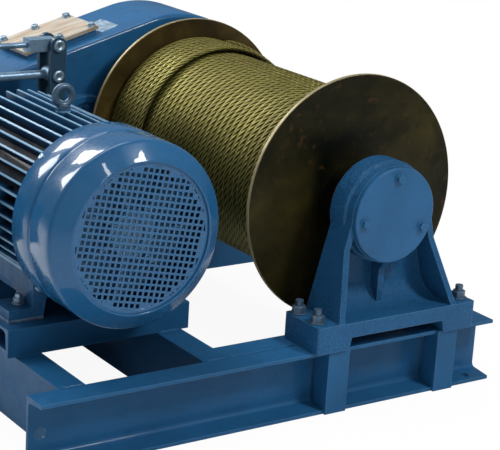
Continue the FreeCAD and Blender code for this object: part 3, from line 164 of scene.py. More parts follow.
def enamel(name, colour, grain, depth, roughness, coat, edge=0.0015, cast=False, fins=None):
    """Blue paint: cloudy tone, grime in patches, orange peel or casting grain.

    Grain is the scale of the relief and depth its height in metres.  Between fins about
    an axis painted shade makes the paint dark, and a painted highlight makes their tips bright.
    """
    paint = Finish(name, Roughness=roughness, Coat_Weight=coat, Coat_Roughness=0.06,
                   Specular_IOR_Level=0.10)
    soft, rim = paint.soft_edges(edge)
    clouds = paint.ramp(paint.noise(7.0, 4.0), 0.35, 0.65)
    tone = paint.mix(clouds, scaled(colour, 0.88), scaled(colour, 1.08))
    grime = paint.ramp(paint.noise(38.0, 6.0, distortion=0.6), 0.56, 0.74, 0.0, 0.35)
    tone = paint.mix(grime, tone, scaled(colour, 0.55))
    if cast:
        pits = paint.ramp(paint.noise(grain * 0.8, 2.0), 0.40, 0.58)
        tone = paint.mix(pits, paint.mix(0.4, tone, scaled(colour, 0.45)), tone)
    # Outer edges lighter: partly worn paint, partly a painted highlight
    wear_and_painted_light_tone = paint.mix(paint.math("MULTIPLY", rim, 0.45), tone, (0.13, 0.27, 0.42))
    if fins:
        # Painted shade darkens the paint between the fins, and a painted highlight lightens their
        # tips
        reach = paint.around(fins)
        clear = paint.ramp(reach, FIN_SHADE_FULL, FIN_SHADE_NONE)
        wear_and_painted_light_tone = paint.mix(clear, scaled(colour, 0.10), wear_and_painted_light_tone)
        tips = paint.math("MULTIPLY", paint.ramp(reach, TIP_START, TIP_FULL),
                          paint.ramp(reach, TIP_END, TIP_FADE, 0.0, 0.75))
        wear_and_painted_light_tone = paint.mix(tips, wear_and_painted_light_tone, (0.22, 0.40, 0.58))
    paint.feed("Base Color", wear_and_painted_light_tone)
    paint.feed("Roughness", paint.ramp(paint.noise(24.0, 5.0), 0.3, 0.7,
                                       roughness * 0.75, min(1.0, roughness * 1.35)))
    height = paint.noise(grain, 4.0 if cast else 1.5)
    paint.feed("Normal", paint.bump(height, depth, soft))
    return paint.material


def sheet_enamel(name, colour):
    """Smooth glossy paint of the fan cowl: long soft waves and a clear coat."""
    paint = Finish(name, Roughness=0.30, Coat_Weight=0.5, Coat_Roughness=0.03,
                   Specular_IOR_Level=0.10)
    soft, rim = paint.soft_edges(0.001)
    clouds = paint.ramp(paint.noise(5.0, 3.0), 0.35, 0.65)
    tone = paint.mix(clouds, scaled(colour, 0.92), scaled(colour, 1.06))
    dust = paint.ramp(paint.noise(160.0, 3.0), 0.60, 0.72, 0.0, 0.25)
    tone = paint.mix(dust, tone, scaled(colour, 0.6))
    # Outer edges lighter: partly worn paint, partly a painted highlight
    paint.feed("Base Color", paint.mix(paint.math("MULTIPLY", rim, 0.5), tone, (0.16, 0.32, 0.50)))
    paint.feed("Roughness", paint.ramp(paint.noise(60.0, 4.0), 0.3, 0.7, 0.18, 0.32))
    paint.feed("Normal", paint.bump(paint.noise(11.0, 1.5), 0.0012, soft))
    paint.feed("Coat Normal", paint.bump(paint.noise(14.0, 2.5), 0.0015, soft))
    return paint.material


def bare_metal(name, colour, roughness, metallic=1.0, stain=(0.1, 0.07, 0.03)):
    """Turned or plated steel with brushed grain and a little staining."""
    metal = Finish(name, Metallic=metallic, Roughness=roughness)
    stretched = metal.node("ShaderNodeMapping", {"Vector": metal.where, "Scale": (1.0, 0.15, 1.0)})
    lines = metal.noise(220.0, 3.0, vector=stretched.outputs[0])
    patches = metal.ramp(metal.noise(30.0, 5.0), 0.52, 0.72, 0.0, 0.55)
    tone = metal.mix(lines, scaled(colour, 0.8), scaled(colour, 1.15))
    metal.feed("Base Color", metal.mix(patches, tone, stain))
    metal.feed("Roughness", metal.ramp(lines, 0.3, 0.7,
                                       roughness * 0.7, min(1.0, roughness * 1.4)))
    metal.feed("Normal", metal.bump(lines, 0.0001, metal.soft_edges(0.0008)[0]))
    return metal.material


# Bright flange rim: partly bare steel, partly a painted highlight
RIM_START, RIM_FULL = 0.2424, 0.2438  # bright edge of the flanges, from the drum's axis


def oiled_flange(name, dark, light):
    """Turned flange under old oil: rings from the lathe, brown and olive patches."""
    metal = Finish(name, Metallic=0.30, Roughness=0.38, Specular_IOR_Level=0.12)
    soft, rim = metal.soft_edges(0.0012)
    reach = metal.around(DRUM)
    rings = metal.node("ShaderNodeTexNoise", {"W": reach, "Scale": 900.0, "Detail": 3.0},
                       noise_dimensions="1D").outputs[0]
    wide = metal.ramp(metal.noise(4.5, 5.0, distortion=0.8), 0.34, 0.66)
    fine = metal.ramp(metal.noise(26.0, 6.0, distortion=0.5), 0.38, 0.66)
    tone = metal.mix(wide, dark, light)
    tone = metal.mix(metal.math("MULTIPLY", fine, 0.45), tone, scaled(dark, 0.6))
    rust = metal.ramp(metal.noise(55.0, 6.0), 0.62, 0.72, 0.0, 0.6)
    tone = metal.mix(rust, tone, (0.050, 0.026, 0.008))
    # Rim and outer edges brighter: partly bare steel, partly a painted highlight
    edge = metal.math("MAXIMUM", rim, metal.ramp(reach, RIM_START, RIM_FULL))
    metal.feed("Base Color", metal.mix(edge, tone, (0.27, 0.23, 0.13)))
    metal.feed("Roughness", metal.ramp(fine, 0.0, 1.0, 0.30, 0.52))
    height = metal.math("ADD", rings, metal.math("MULTIPLY", fine, 1.5))
    metal.feed("Normal", metal.bump(height, 0.00025, soft))
    return metal.material


def greased_rope(name):
    """Steel wire rope under old yellow greasing, with fine wires: painted shade darkens the
    valleys, and painted highlights brighten specks of the wires.
    """
    rope = Finish(name, Metallic=0.80, Roughness=0.34)
    crown = rope.node("ShaderNodeAttribute", attribute_name="crown").outputs["Fac"]
    patches = rope.ramp(rope.noise(6.0, 4.0, distortion=0.7), 0.32, 0.68)
    grease_and_glints = rope.mix(patches, (0.086, 0.068, 0.006), (0.170, 0.152, 0.020))
    wires = rope.noise(520.0, 2.0)
    # Pale specks on the wires are painted highlights
    grease_and_glints = rope.mix(rope.ramp(wires, 0.42, 0.66, 0.0, 0.5), grease_and_glints, (0.50, 0.47, 0.17))
    # Painted shade: near black in the valleys between strands and on the side turned to the drum
    rope.feed("Base Color", rope.mix(rope.ramp(crown, 0.38, 0.92), (0.006, 0.005, 0.001), grease_and_glints))
    rope.feed("Roughness", rope.ramp(patches, 0.0, 1.0, 0.48, 0.30))
    rope.feed("Normal", rope.bump(wires, 0.0005))
    return rope.material


def cast_iron(name, colour, roughness):
    """Unpainted iron, or rubber, in dark patches, with edges paler from wear and partly from a
    painted highlight.
    """
    metal = Finish(name, Metallic=0.25, Roughness=roughness)
    soft, rim = metal.soft_edges(0.0015)
    patches = metal.ramp(metal.noise(20.0, 5.0), 0.35, 0.68)
    tone = metal.mix(patches, scaled(colour, 0.7), scaled(colour, 1.25))
    # Paler edges: partly wear, partly a painted highlight
    metal.feed("Base Color", metal.mix(metal.math("MULTIPLY", rim, 0.4), tone, (0.35, 0.34, 0.32)))
    metal.feed("Normal", metal.bump(metal.noise(300.0, 4.0), 0.0004, soft))
    return metal.material


def hatch_paint(name):
    """Primer coloured cover, paler in streaks along the slope."""
    paint = Finish(name, Roughness=0.55)
    soft, rim = paint.soft_edges(0.0012)
    stretched = paint.node("ShaderNodeMapping", {"Vector": paint.where, "Scale": (0.5, 3.0, 1.0)})
    streaks = paint.ramp(paint.noise(26.0, 4.0, vector=stretched.outputs[0]), 0.36, 0.64)
    tone = paint.mix(streaks, (0.27, 0.20, 0.125), (0.38, 0.36, 0.31))
    spots = paint.ramp(paint.noise(70.0, 4.0), 0.60, 0.72, 0.0, 0.5)
    tone = paint.mix(spots, tone, (0.50, 0.22, 0.08))
    # Edges near white: partly worn paint, partly a painted highlight
    paint.feed("Base Color", paint.mix(rim, tone, (0.80, 0.80, 0.78)))
    paint.feed("Normal", paint.bump(paint.noise(180.0, 3.0), 0.0003, soft))
    return paint.material


BLUE = (0.0145, 0.092, 0.215)
BEAM = enamel("beam_enamel", scaled(BLUE, 0.92), 170.0, 0.0004, 0.42, 0.12)
CAST = enamel("cast_enamel", BLUE, 270.0, 0.0022, 0.46, 0.12, 0.0025, cast=True)
FINNED = enamel("finned_enamel", BLUE, 330.0, 0.0008, 0.46, 0.12, 0.0015, cast=True, fins=MOTOR)
ARM = enamel("arm_enamel", (0.020, 0.052, 0.090), 260.0, 0.0006, 0.45, 0.15)
SMOOTH = enamel("machined_enamel", BLUE, 90.0, 0.0003, 0.34, 0.20)
CASE = enamel("case_enamel", scaled(BLUE, 1.05), 120.0, 0.0005, 0.34, 0.30, 0.002)
COWL = sheet_enamel("cowl_enamel", scaled(BLUE, 1.02))
FAN = enamel("fan_enamel", (0.12, 0.26, 0.42), 120.0, 0.0005, 0.45, 0.2)
HATCH = hatch_paint("hatch_primer")
STEEL = bare_metal("turned_steel", (0.56, 0.56, 0.53), 0.30)
PLATED = bare_metal("plated_steel", (0.30, 0.42, 0.54), 0.34, 0.85, stain=(0.12, 0.16, 0.20))
STUD = bare_metal("stud_steel", (0.070, 0.125, 0.190), 0.40, 0.5, stain=(0.02, 0.04, 0.07))
# Pale blue-white plate: partly its bare metal, partly a painted sky reflection
PLATE_AND_REFLECTION = bare_metal("plate_metal_reflection", (0.34, 0.47, 0.60), 0.38, 0.7, stain=(0.20, 0.28, 0.36))
ROD = bare_metal("rod_steel", (0.17, 0.28, 0.40), 0.36, 0.5, stain=(0.05, 0.09, 0.14))
IRON = cast_iron("brake_iron", (0.055, 0.062, 0.070), 0.5)
LINING = cast_iron("shoe_iron", (0.045, 0.040, 0.036), 0.75)
# The same oiled steel in two copies: the near one painted dark as shade and dark reflection, the
# far one painted lighter as lit
NEAR_FLANGE_SHADED = oiled_flange("near_flange_oil_shaded", (0.003, 0.004, 0.002), (0.034, 0.028, 0.007))
FAR_FLANGE_LIT = oiled_flange("far_flange_oil_lit", (0.028, 0.020, 0.006), (0.110, 0.076, 0.020))
ROPE = greased_rope("greased_rope")
RUBBER = cast_iron("black_rubber", (0.02, 0.02, 0.022), 0.7)

BY_NODE = {
    "bearing_pedestal": CAST, "bearing_cover": SMOOTH, "pedestal_posts": BEAM,
    "reducer_base": CASE, "reducer_cover": CASE, "reducer_bearing_caps": SMOOTH,
    "motor_frame": FINNED, "end_shield_fan": CAST, "end_shield_drive": CAST,
    "fan_cowl": COWL, "fan_grille": COWL, "terminal_box": SMOOTH, "lifting_eye": STUD,
    "inspection_cover": HATCH, "drum_journal": NEAR_FLANGE_SHADED, "output_shaft": STEEL,
    "motor_shaft_bar": ROD, "input_shaft": STEEL, "motor_packing": PLATED,
    "spring_rod": ROD, "release_rod": ROD, "brake_wheel": IRON, "brake_shoe_left": LINING,
    "brake_shoe_right": LINING, "drum_bearing": STEEL, "cooling_fan": FAN,
    "drum_flange_near": NEAR_FLANGE_SHADED, "drum_flange_far": FAR_FLANGE_LIT, "drum_barrel": FAR_FLANGE_LIT,
    "brake_stand": ARM, "brake_arm_left": ARM, "brake_arm_right": ARM,
    "release_magnet": SMOOTH,
}
for node, item in frame["nodes"].items():
    item.data.materials.clear()
    item.data.materials.append(BY_NODE.get(node, BEAM))


# --------------------------------------------------------------------------
# Meshes
# --------------------------------------------------------------------------


def facing(place, axis, spin=0.0):
    """Matrix that stands a shape on a place with its own Z along an axis."""
    turn = axis.to_track_quat("Z", "Y").to_matrix().to_4x4()
    return Matrix.Translation(place) @ turn @ Matrix.Rotation(spin, 4, "Z")


class Pile:
    """Points and faces gathered from several shapes into one mesh."""

    def __init__(self):
        self.points, self.faces, self.smooth = [], [], []

    def add(self, points, faces, matrix, smooth):
        """Put one shape in the pile, moved by a matrix."""
        base = len(self.points)
        self.points += [matrix @ Vector(point) for point in points]
        self.faces += [[base + index for index in face] for face in faces]
        self.smooth += [smooth] * len(faces)

    def turned(self, profile, matrix, sides=24, smooth=True, rim=None):
        """Solid of revolution about the local Z; rim scales the radius by side."""
        points, rings = [], []
        for radius, height in profile:
            count = sides if radius > 1e-9 else 1
            rings.append([len(points) + index % count for index in range(sides + 1)])
            for index in range(count):
                angle = 2 * math.pi * index / sides
                reach = radius * (rim(index) if rim else 1.0)
                points.append((reach * math.cos(angle), reach * math.sin(angle), height))
        faces = []
        for low, high in zip(rings, rings[1:]):
            for index in range(sides):
                around = [low[index], low[index + 1], high[index + 1], high[index]]
                face = list(dict.fromkeys(around))
                if len(face) > 2:
                    faces.append(face)
        self.add(points, faces, matrix, smooth)

    def swept(self, line, radii, sides):
        """Round bar along a line of points, with one radius for each point."""
        line = [Vector(point) for point in line]
        points = []
        for index, centre in enumerate(line):
            way = line[min(index + 1, len(line) - 1)] - line[max(index - 1, 0)]
            turn = way.to_track_quat("Z", "Y").to_matrix()
            for side in range(sides):
                angle = 2 * math.pi * side / sides
                ring = Vector((math.cos(angle), math.sin(angle), 0.0)) * radii[index]
                points.append(centre + turn @ ring)
        faces = [list(range(sides))[::-1], list(range(len(points) - sides, len(points)))]
        for index in range(len(line) - 1):
            for side in range(sides):
                after = (side + 1) % sides
                first = index * sides
                faces.append([first + side, first + after,
                              first + sides + after, first + sides + side])
        self.add(points, faces, Matrix(), True)

    def made(self, name, body, slot, material, bevel=0.0):
        """One piece of all the shapes, riding on a body."""
        mesh = bpy.data.meshes.new(name)
        mesh.from_pydata(self.points, [], self.faces)
        mesh.polygons.foreach_set("use_smooth", self.smooth)
        shape = bmesh.new()
        shape.from_mesh(mesh)
        bmesh.ops.recalc_face_normals(shape, faces=shape.faces)
        shape.to_mesh(mesh)
        shape.free()
        mesh.materials.append(material)
        item = bpy.data.objects.new(name, mesh)
        bpy.context.collection.objects.link(item)
        if bevel:
            edge = item.modifiers.new("edges", "BEVEL")
            edge.width, edge.segments, edge.limit_method = bevel, 2, "ANGLE"
        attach(item, body)
        return item


def washer(pile, matrix, radius, height):
    """Flat round disc with a small chamfer at both edges."""
    cut = 0.0006
    pile.turned([(0, 0), (radius - cut, 0), (radius, cut), (radius, height - cut),
                 (radius - cut, height), (0, height)], matrix, smooth=False)


def hexagon(pile, matrix, across, height):
    """Hexagon nut or head, its corners cut by the chamfer cone."""
    ratio = math.cos(math.radians(30))
    flat, shoulder = across / 2, height * 0.86
    corner = flat / ratio

    def rim(index):
        """Corners at even sides, the middles of the flats between them."""
        return 1.0 if index % 2 == 0 else ratio

    pile.turned([(0, 0), (corner, 0), (corner, shoulder)], matrix, 12, False, rim)
    rise = Matrix.Translation((0, 0, shoulder))
    points, faces = [], []
    for index in range(12):
        angle = 2 * math.pi * index / 12
        for reach, level in ((corner * rim(index), 0.0), (flat * 0.96, height * 0.14)):
            points.append((reach * math.cos(angle), reach * math.sin(angle), level))
    for index in range(12):
        after = (index + 1) % 12
        faces.append([2 * index, 2 * after, 2 * after + 1, 2 * index + 1])
    faces.append([2 * index + 1 for index in range(12)])
    pile.add(points, faces, matrix @ rise, False)


def thread(pile, matrix, radius, length, pitch):
    """Bolt end with ridges and a rounded tip."""
    profile, level, root = [(0, 0)], 0.0, radius * 0.86
    while level < length - pitch:
        profile += [(root, level), (radius, level + pitch / 2)]
        level += pitch
    profile += [(root, level), (radius * 0.84, length - pitch * 0.4), (0, length)]
    pile.turned(profile, matrix, 20)


def bolt(pile, place, axis, size, spin=0.0, tail=0.0):
    """Hexagon head on a washer, or a nut with the thread standing out by tail."""
    matrix, under = facing(place, axis, spin), size * 0.18
    washer(pile, matrix, size * 1.02, under)
    rise = matrix @ Matrix.Translation((0, 0, under))
    height = size * (0.82 if tail else 0.64)
    hexagon(pile, rise, size * 1.5, height)
    if tail:
        thread(pile, rise @ Matrix.Translation((0, 0, height * 0.8)), size / 2,
               height * 0.2 + tail, size * 0.125)


# --------------------------------------------------------------------------
# Wire rope
# --------------------------------------------------------------------------
ROPE_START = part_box("rope_winding")[0].y
TOP_START, TOP_END = (corner.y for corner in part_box("rope_top_layer"))
LAYER_RADIUS, TOP_RADIUS = radius_of("rope_winding"), radius_of("rope_top_layer")
ROPE_SIZE = 0.017
HALF_ROPE = ROPE_SIZE / 2
STRANDS = 6
LAY = 0.084  # length along the rope of one turn of its strands
STEPS_PER_LAY = 12
TOP_SETBACK = 0.040  # the second layer starts this far behind its solid, as photographed
# Close wraps bed into each other: each shows EDGE to both sides of its crown, and is
# FLAT times as high as a round one
EDGE = math.radians(60)
FLAT = 0.6


def rope_section():
    """Angles, radii and crown values round a rope of six outer strands."""
    angles, radii, crowns = [], [], []
    for strand in range(STRANDS):
        # Crown 0 marks the valley between strands, which gets painted shade
        for degrees, crown in ((-30, 0.0), (-11, 1.0), (11, 1.0)):
            angle = math.radians(degrees)
            rest = max(0.0, 0.25 - math.sin(angle) ** 2)
            angles.append(2 * math.pi * strand / STRANDS + angle)
            radii.append(ROPE_SIZE / 3 * (math.cos(angle) + math.sqrt(rest)))
            crowns.append(crown)
    return np.array(angles), np.array(radii), np.array(crowns)


def lay_at(radius):
    """Lay for wraps of a radius, near LAY, so that the strands line up wrap by wrap."""
    passes = round(2 * math.pi * radius * STRANDS / LAY)
    return 2 * math.pi * radius * STRANDS / passes


def rope_piece(name, runs, lay, edge=EDGE, flat=FLAT):
    """One mesh of twisted rope along runs of (centres, outward directions).

    Each point keeps in its attribute "crown" a value for painted shade: low in the valleys between
    strands and on the side turned to the drum.
    """
    angles, radii, crowns = rope_section()
    sides = len(angles)
    points, faces, values = [], [], []
    base = 0
    for centres, outward in runs:
        count = len(centres)
        way = np.gradient(centres, axis=0)
        step = np.linalg.norm(way, axis=1)
        way /= step[:, None]
        across = np.cross(way, outward)
        across /= np.linalg.norm(across, axis=1)[:, None]
        outer = np.cross(across, way)
        twist = 2 * math.pi * np.cumsum(step) / lay
        theta = angles[None, :] + twist[:, None]
        side = (theta + np.pi) % (2 * np.pi) - np.pi
        wide = np.where(np.abs(side) < edge, side / edge, np.sin(side) / np.sin(edge))
        ring = (flat * np.cos(theta)[..., None] * outer[:, None, :]
                + wide[..., None] * across[:, None, :])
        points.append((centres[:, None, :] + ring * radii[None, :, None]).reshape(-1, 3))
        # Painted shade: the side of the rope turned towards the drum gets a lower value
        lit_share = 0.80 + 0.20 * np.cos(theta)
        values.append((crowns[None, :] * lit_share).reshape(-1))
        index = base + np.arange(count)[:, None] * sides + np.arange(sides)[None, :]
        after = np.roll(index, -1, axis=1)
        quads = np.stack([index[:-1], after[:-1], after[1:], index[1:]], axis=-1)
        faces.append(quads.reshape(-1, 4))
        base += count * sides
    mesh = bpy.data.meshes.new(name)
    mesh.from_pydata(np.concatenate(points).tolist(), [], np.concatenate(faces)[:, ::-1].tolist())
    mesh.polygons.foreach_set("use_smooth", [True] * len(mesh.polygons))
    crown = mesh.attributes.new("crown", "FLOAT", "POINT")
    crown.data.foreach_set("value", np.concatenate(values))
    mesh.materials.append(ROPE)
    item = bpy.data.objects.new(name, mesh)
    bpy.context.collection.objects.link(item)
    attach(item, "drum")
    return item


def polar(angle, radius, place):
    """Points at angles from the top towards +X, a radius off the drum's axis."""
    across, up = radius * np.sin(angle), radius * np.cos(angle)
    return np.stack([DRUM.x + across, place, DRUM.z + up], axis=-1)


def outward_at(angle):
    """Directions away from the drum's axis at such angles."""
    return np.stack([np.sin(angle), np.zeros_like(angle), np.cos(angle)], axis=-1)


def wraps(first, last, radius):
    """Run of close wraps from one place along the axis to another."""
    turns = (last - first) / ROPE_SIZE
    steps = int(turns * 2 * math.pi * radius / lay_at(radius) * STEPS_PER_LAY)
    share = np.linspace(0.0, 1.0, steps)
    underneath = math.radians(150)
    angle = underneath - 2 * math.pi * turns * share
    centres = polar(angle, np.full(steps, radius), first + (last - first) * share)
    return centres, outward_at(angle)


def crossing(number):
    """Run of a turn that rises, crosses back over its own layer and dips again."""
    start, sweep, between = 22, 46, 6  # degrees from the top of the drum
    from_end, travel = 0.012, 0.125  # along the drum
    sunk, rise, fall = 0.004, 0.0155, 0.010  # off the radius of the second layer
    share = np.linspace(0.0, 1.0, 60)
    angle = np.radians(start + between * number + sweep * share)
    ease = share * share * (3 - 2 * share)
    place = TOP_END - from_end - travel * ease
    lift = np.sin(np.pi * np.clip(share * 1.12 - 0.06, 0, 1)) ** 0.6
    radius = TOP_RADIUS - sunk + rise * lift - fall * share
    return polar(angle, radius, place), outward_at(angle)


def wound_rope():
    """A full layer, a second one at the reducer's end, and two turns that cross it.

    The full layer ends out of sight, two wraps under the second.
    """
    step = TOP_START + TOP_SETBACK
    low_radius, top_radius = LAYER_RADIUS - FLAT * HALF_ROPE, TOP_RADIUS - FLAT * HALF_ROPE
    run = wraps(ROPE_START + HALF_ROPE, step + 2 * ROPE_SIZE, low_radius)
    full = rope_piece("rope_full_layer", [run], lay_at(low_radius))
    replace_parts(full, "rope_winding")
    run = wraps(step + HALF_ROPE, TOP_END - HALF_ROPE, top_radius)
    top = rope_piece("rope_last_layer", [run], lay_at(top_radius))
    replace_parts(top, "rope_top_layer")
    runs = [crossing(number) for number in range(2)]
    rope_piece("rope_crossing_turns", runs, lay_at(top_radius), math.pi / 2, 1.0)


wound_rope()

# --------------------------------------------------------------------------
# Fasteners and small fittings
# --------------------------------------------------------------------------


def on_circle(degrees, reach):
    """Offset in the XZ plane at an angle from +X towards +Z."""
    angle = math.radians(degrees)
    return Vector((reach * math.cos(angle), 0, reach * math.sin(angle)))


def pedestal_studs():
    """Four M16 studs with nuts through the pedestal's feet."""
    half_pitch, foot_height, stud_out = 0.172, 0.053, 0.012
    pile = Pile()
    for side in (-1, 1):
        for distance in (0.018, 0.077):
            place = Vector((DRUM.x + side * half_pitch, FRONT + distance, BEAM_TOP + foot_height))
            bolt(pile, place, Z, 0.016, random.random(), stud_out)
    pile.made("pedestal_studs", "frame", "bare_steel", STUD)


def cover_bolts():
    """Three bolts of the bearing cover, where the photograph shows them."""
    pile = Pile()
    centre = Vector((DRUM.x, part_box("bearing_cover")[0].y, DRUM.z))
    for degrees in (88, 186, -23):
        bolt(pile, centre + on_circle(degrees, 0.072), -Y, 0.010, random.random())
    pile.made("bearing_cover_bolts", "frame", "casting_paint", SMOOTH)


def cap_bolts():
    """Bolts of the reducer's bearing caps, front and back."""
    pile = Pile()
    low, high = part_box("reducer_bearing_caps")
    middle_shaft = DRUM.x - 0.232
    for x, reach in ((DRUM.x, 0.084), (middle_shaft, 0.052), (MOTOR.x, 0.039)):
        for number in range(6):
            across = on_circle(60 * number + 30, reach)
            for face, axis in ((low.y, -Y), (high.y, Y)):
                bolt(pile, Vector((x, face, DRUM.z)) + across, axis, 0.006, random.random())
    pile.made("bearing_cap_bolts", "frame", "casting_paint", SMOOTH)


def case_bolts():
    """Bolts through the split flange at both ends of the reducer, head above, nut below."""
    pile, half_flange, from_end, from_face = Pile(), 0.016, 0.0125, 0.020
    low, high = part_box("reducer_cover")
    front, back = low.y + from_face, high.y - from_face
    for x in (low.x + from_end, high.x - from_end):
        for share in (0.2, 0.8):
            place = Vector((x, front + (back - front) * share, DRUM.z + half_flange))
            bolt(pile, place, Z, 0.012, random.random())
            bolt(pile, place - Z * (2 * half_flange), -Z, 0.012, random.random(), 0.006)
    pile.made("case_bolts", "frame", "casting_paint", SMOOTH)


def motor_bolts():
    """Nuts on the four foot studs of the motor."""
    pile, foot_height, stud_out, inset_x, inset_y = Pile(), 0.018, 0.008, 0.035, 0.033
    feet_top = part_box("motor_frame")[0].z + foot_height
    packing_low, packing_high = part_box("motor_packing")
    for x in (packing_low.x + inset_x, packing_high.x - inset_x):
        for y in (packing_low.y + inset_y, packing_high.y - inset_y):
            bolt(pile, Vector((x, y, feet_top)), Z, 0.012, random.random(), stud_out)
    pile.made("motor_foot_bolts", "frame", "bare_steel", PLATED)


def cowl_screws():
    """Four domed screws, each with a small round recess, at the back of the fan cowl."""
    pile, sunk, from_edge = Pile(), 0.0004, 0.008
    reach = radius_of("fan_cowl") - sunk
    centre = Vector((MOTOR.x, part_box("fan_cowl")[1].y - from_edge, MOTOR.z))
    for degrees in (45, 135, 225, 315):
        out = on_circle(degrees, 1.0)
        matrix = facing(centre + out * reach, out)
        pile.turned([(0, 0), (0.0065, 0), (0.0062, 0.0018), (0.0045, 0.0030), (0.0016, 0.0032),
                     (0.0014, 0.0016), (0, 0.0016)], matrix, 20)
    pile.made("cowl_screws", "frame", "bare_steel", PLATED)


def cowl_sheet():
    """Fan cowl drawn from one sheet: conical front, raised lip, groove round it.

    Its cone stands out in front of the solid, inside the part's box.  Returns its front.
    """
    low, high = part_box("fan_cowl")
    cone, wall, lip = 0.016, 0.0025, 0.1415
    outer, front, length = radius_of("fan_cowl"), low.y - cone, high.y - low.y + cone
    groove = low.y - front + 0.080

    def shoulder(inset):
        """Points of the cone and its bend, on the sheet's outside or inset from it."""
        return [(lip + 0.001, 0.0010 + inset), (outer - 0.0050 - inset, 0.0200 + inset),
                (outer - 0.0024 - inset, 0.0222 + inset), (outer - 0.0007 - inset, 0.0255 + inset),
                (outer - inset, 0.0300 + inset)]

    profile = [(lip - 0.0035, 0.0060), (lip - 0.0035, 0.0014), (lip - 0.0032, 0.0005),
               (lip - 0.0025, 0.0), (lip - 0.0008, 0.0), (lip, 0.0003)]
    profile += shoulder(0.0)
    profile += [(outer, 0.036), (outer, groove - 0.006), (outer - 0.0003, groove - 0.005),
                (outer - wall, groove - 0.002), (outer - wall, groove + 0.002),
                (outer - 0.0003, groove + 0.005), (outer, groove + 0.006),
                (outer, length - 0.001), (outer - 0.0005, length), (outer - wall, length)]
    profile += [(outer - 2 * wall, groove), *reversed(shoulder(wall)), (lip - 0.0035, 0.0060)]
    pile = Pile()
    pile.turned(profile, facing(Vector((MOTOR.x, front, MOTOR.z)), Y), 120)
    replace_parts(pile.made("fan_cowl_sheet", "frame", "sheet_paint", COWL), "fan_cowl")
    return front


def grille_mesh(front):
    """Perforated plate behind the lip of the cowl, its rows turned off the level.

    Square holes lie on a grid inside the radius field, and the plate ends near reach.
    """
    pitch, hole, field, reach, wall = 0.0117, 0.0076, 0.1310, 0.1365, 0.002
    count = int(reach / pitch) + 1
    across, up = ([(number + half) * pitch + side * hole / 2
                   for number in range(-count, count + 1) for side in (-1, 1)]
                  for half in (0.0, 0.5))
    points = [(x, z, level) for level in (0.0, wall) for x in across for z in up]
    back = len(across) * len(up)
    faces = []
    for column in range(len(across) - 1):
        for row in range(len(up) - 1):
            far = max(math.hypot(x, z) for x in across[column:column + 2] for z in up[row:row + 2])
            first = column * len(up) + row
            ring = [first, first + 1, first + len(up) + 1, first + len(up)]
            if column % 2 == 0 and row % 2 == 0 and far < field:  # a hole: its four walls
                faces += [[ring[side], ring[side - 1], ring[side - 1] + back, ring[side] + back]
                          for side in range(4)]
            elif far < reach:
                faces += [ring, [index + back for index in ring]]
    pile = Pile()
    recess, turn, inner, outer = 0.0045, math.radians(12), 0.1316, 0.1400
    place = Vector((MOTOR.x, front + recess, MOTOR.z))
    matrix = (Matrix.Translation(place) @ Matrix((X, -Z, Y)).transposed().to_4x4()
              @ Matrix.Rotation(turn, 4, "Z"))
    pile.add(points, faces, matrix, False)
    pile.turned([(inner, 0.0), (inner, -0.0003), (outer, -0.0003), (outer, wall), (inner, wall),
                 (inner, 0.0)], matrix, 96, False)
    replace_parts(pile.made("cowl_grille_mesh", "frame", "sheet_paint", COWL), "fan_grille")


def arm_pins(middle):
    """Heads on the pins of both rods, on both faces of both brake arms."""
    half_arm = 0.033
    for side in ("right", "left"):
        pile = Pile()
        low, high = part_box("brake_arm_" + side)
        centre = (low.x + high.x) / 2
        for name in ("spring_rod_eye", "release_rod_eye"):
            for axis in (-Y, Y):
                place = Vector((centre, middle, JOINTS[name].z)) + axis * half_arm
                pile.turned([(0, -0.004), (0.0125, -0.0035), (0.0130, 0.0), (0.0118, 0.0022),
                             (0.0060, 0.0026), (0.0052, 0.0012), (0, 0.0012)],
                            facing(place, axis), 24)
        pile.made("arm_pin_heads_" + side, side + "_brake", "bare_steel", PLATED)


def brake_spring(middle):
    """Coil of the brake spring and the nuts at its ends."""
    low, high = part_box("brake_spring")
    axis_point = Vector((0, middle, JOINTS["spring_rod_eye"].z))
    turns, steps_per_turn, wire, reach = 9, 20, 0.0034, 0.0172
    steps = turns * steps_per_turn
    length = high.x - low.x - 2 * wire
    line = []
    for index in range(steps + 1):
        angle = 2 * math.pi * index / steps_per_turn
        x = low.x + wire + length * (index / steps)
        line.append(axis_point + Vector((x, reach * math.cos(angle), reach * math.sin(angle))))
    coil = Pile()
    coil.swept(line, [wire] * len(line), 10)
    spring = coil.made("brake_spring_coil", "spring_link", "dark_iron", IRON)
    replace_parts(spring, "brake_spring")
    nuts = Pile()
    for x, axis in ((high.x, X), (low.x, -X)):
        bolt(nuts, axis_point + X * x, axis, 0.018)
    nuts.made("spring_nuts", "spring_link", "bare_steel", PLATED)


def brake_details():
    """Pin heads on the arms, and the spring, in the middle of the right arm's width."""
    low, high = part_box("brake_arm_right")
    middle = (low.y + high.y) / 2
    arm_pins(middle)
    brake_spring(middle)


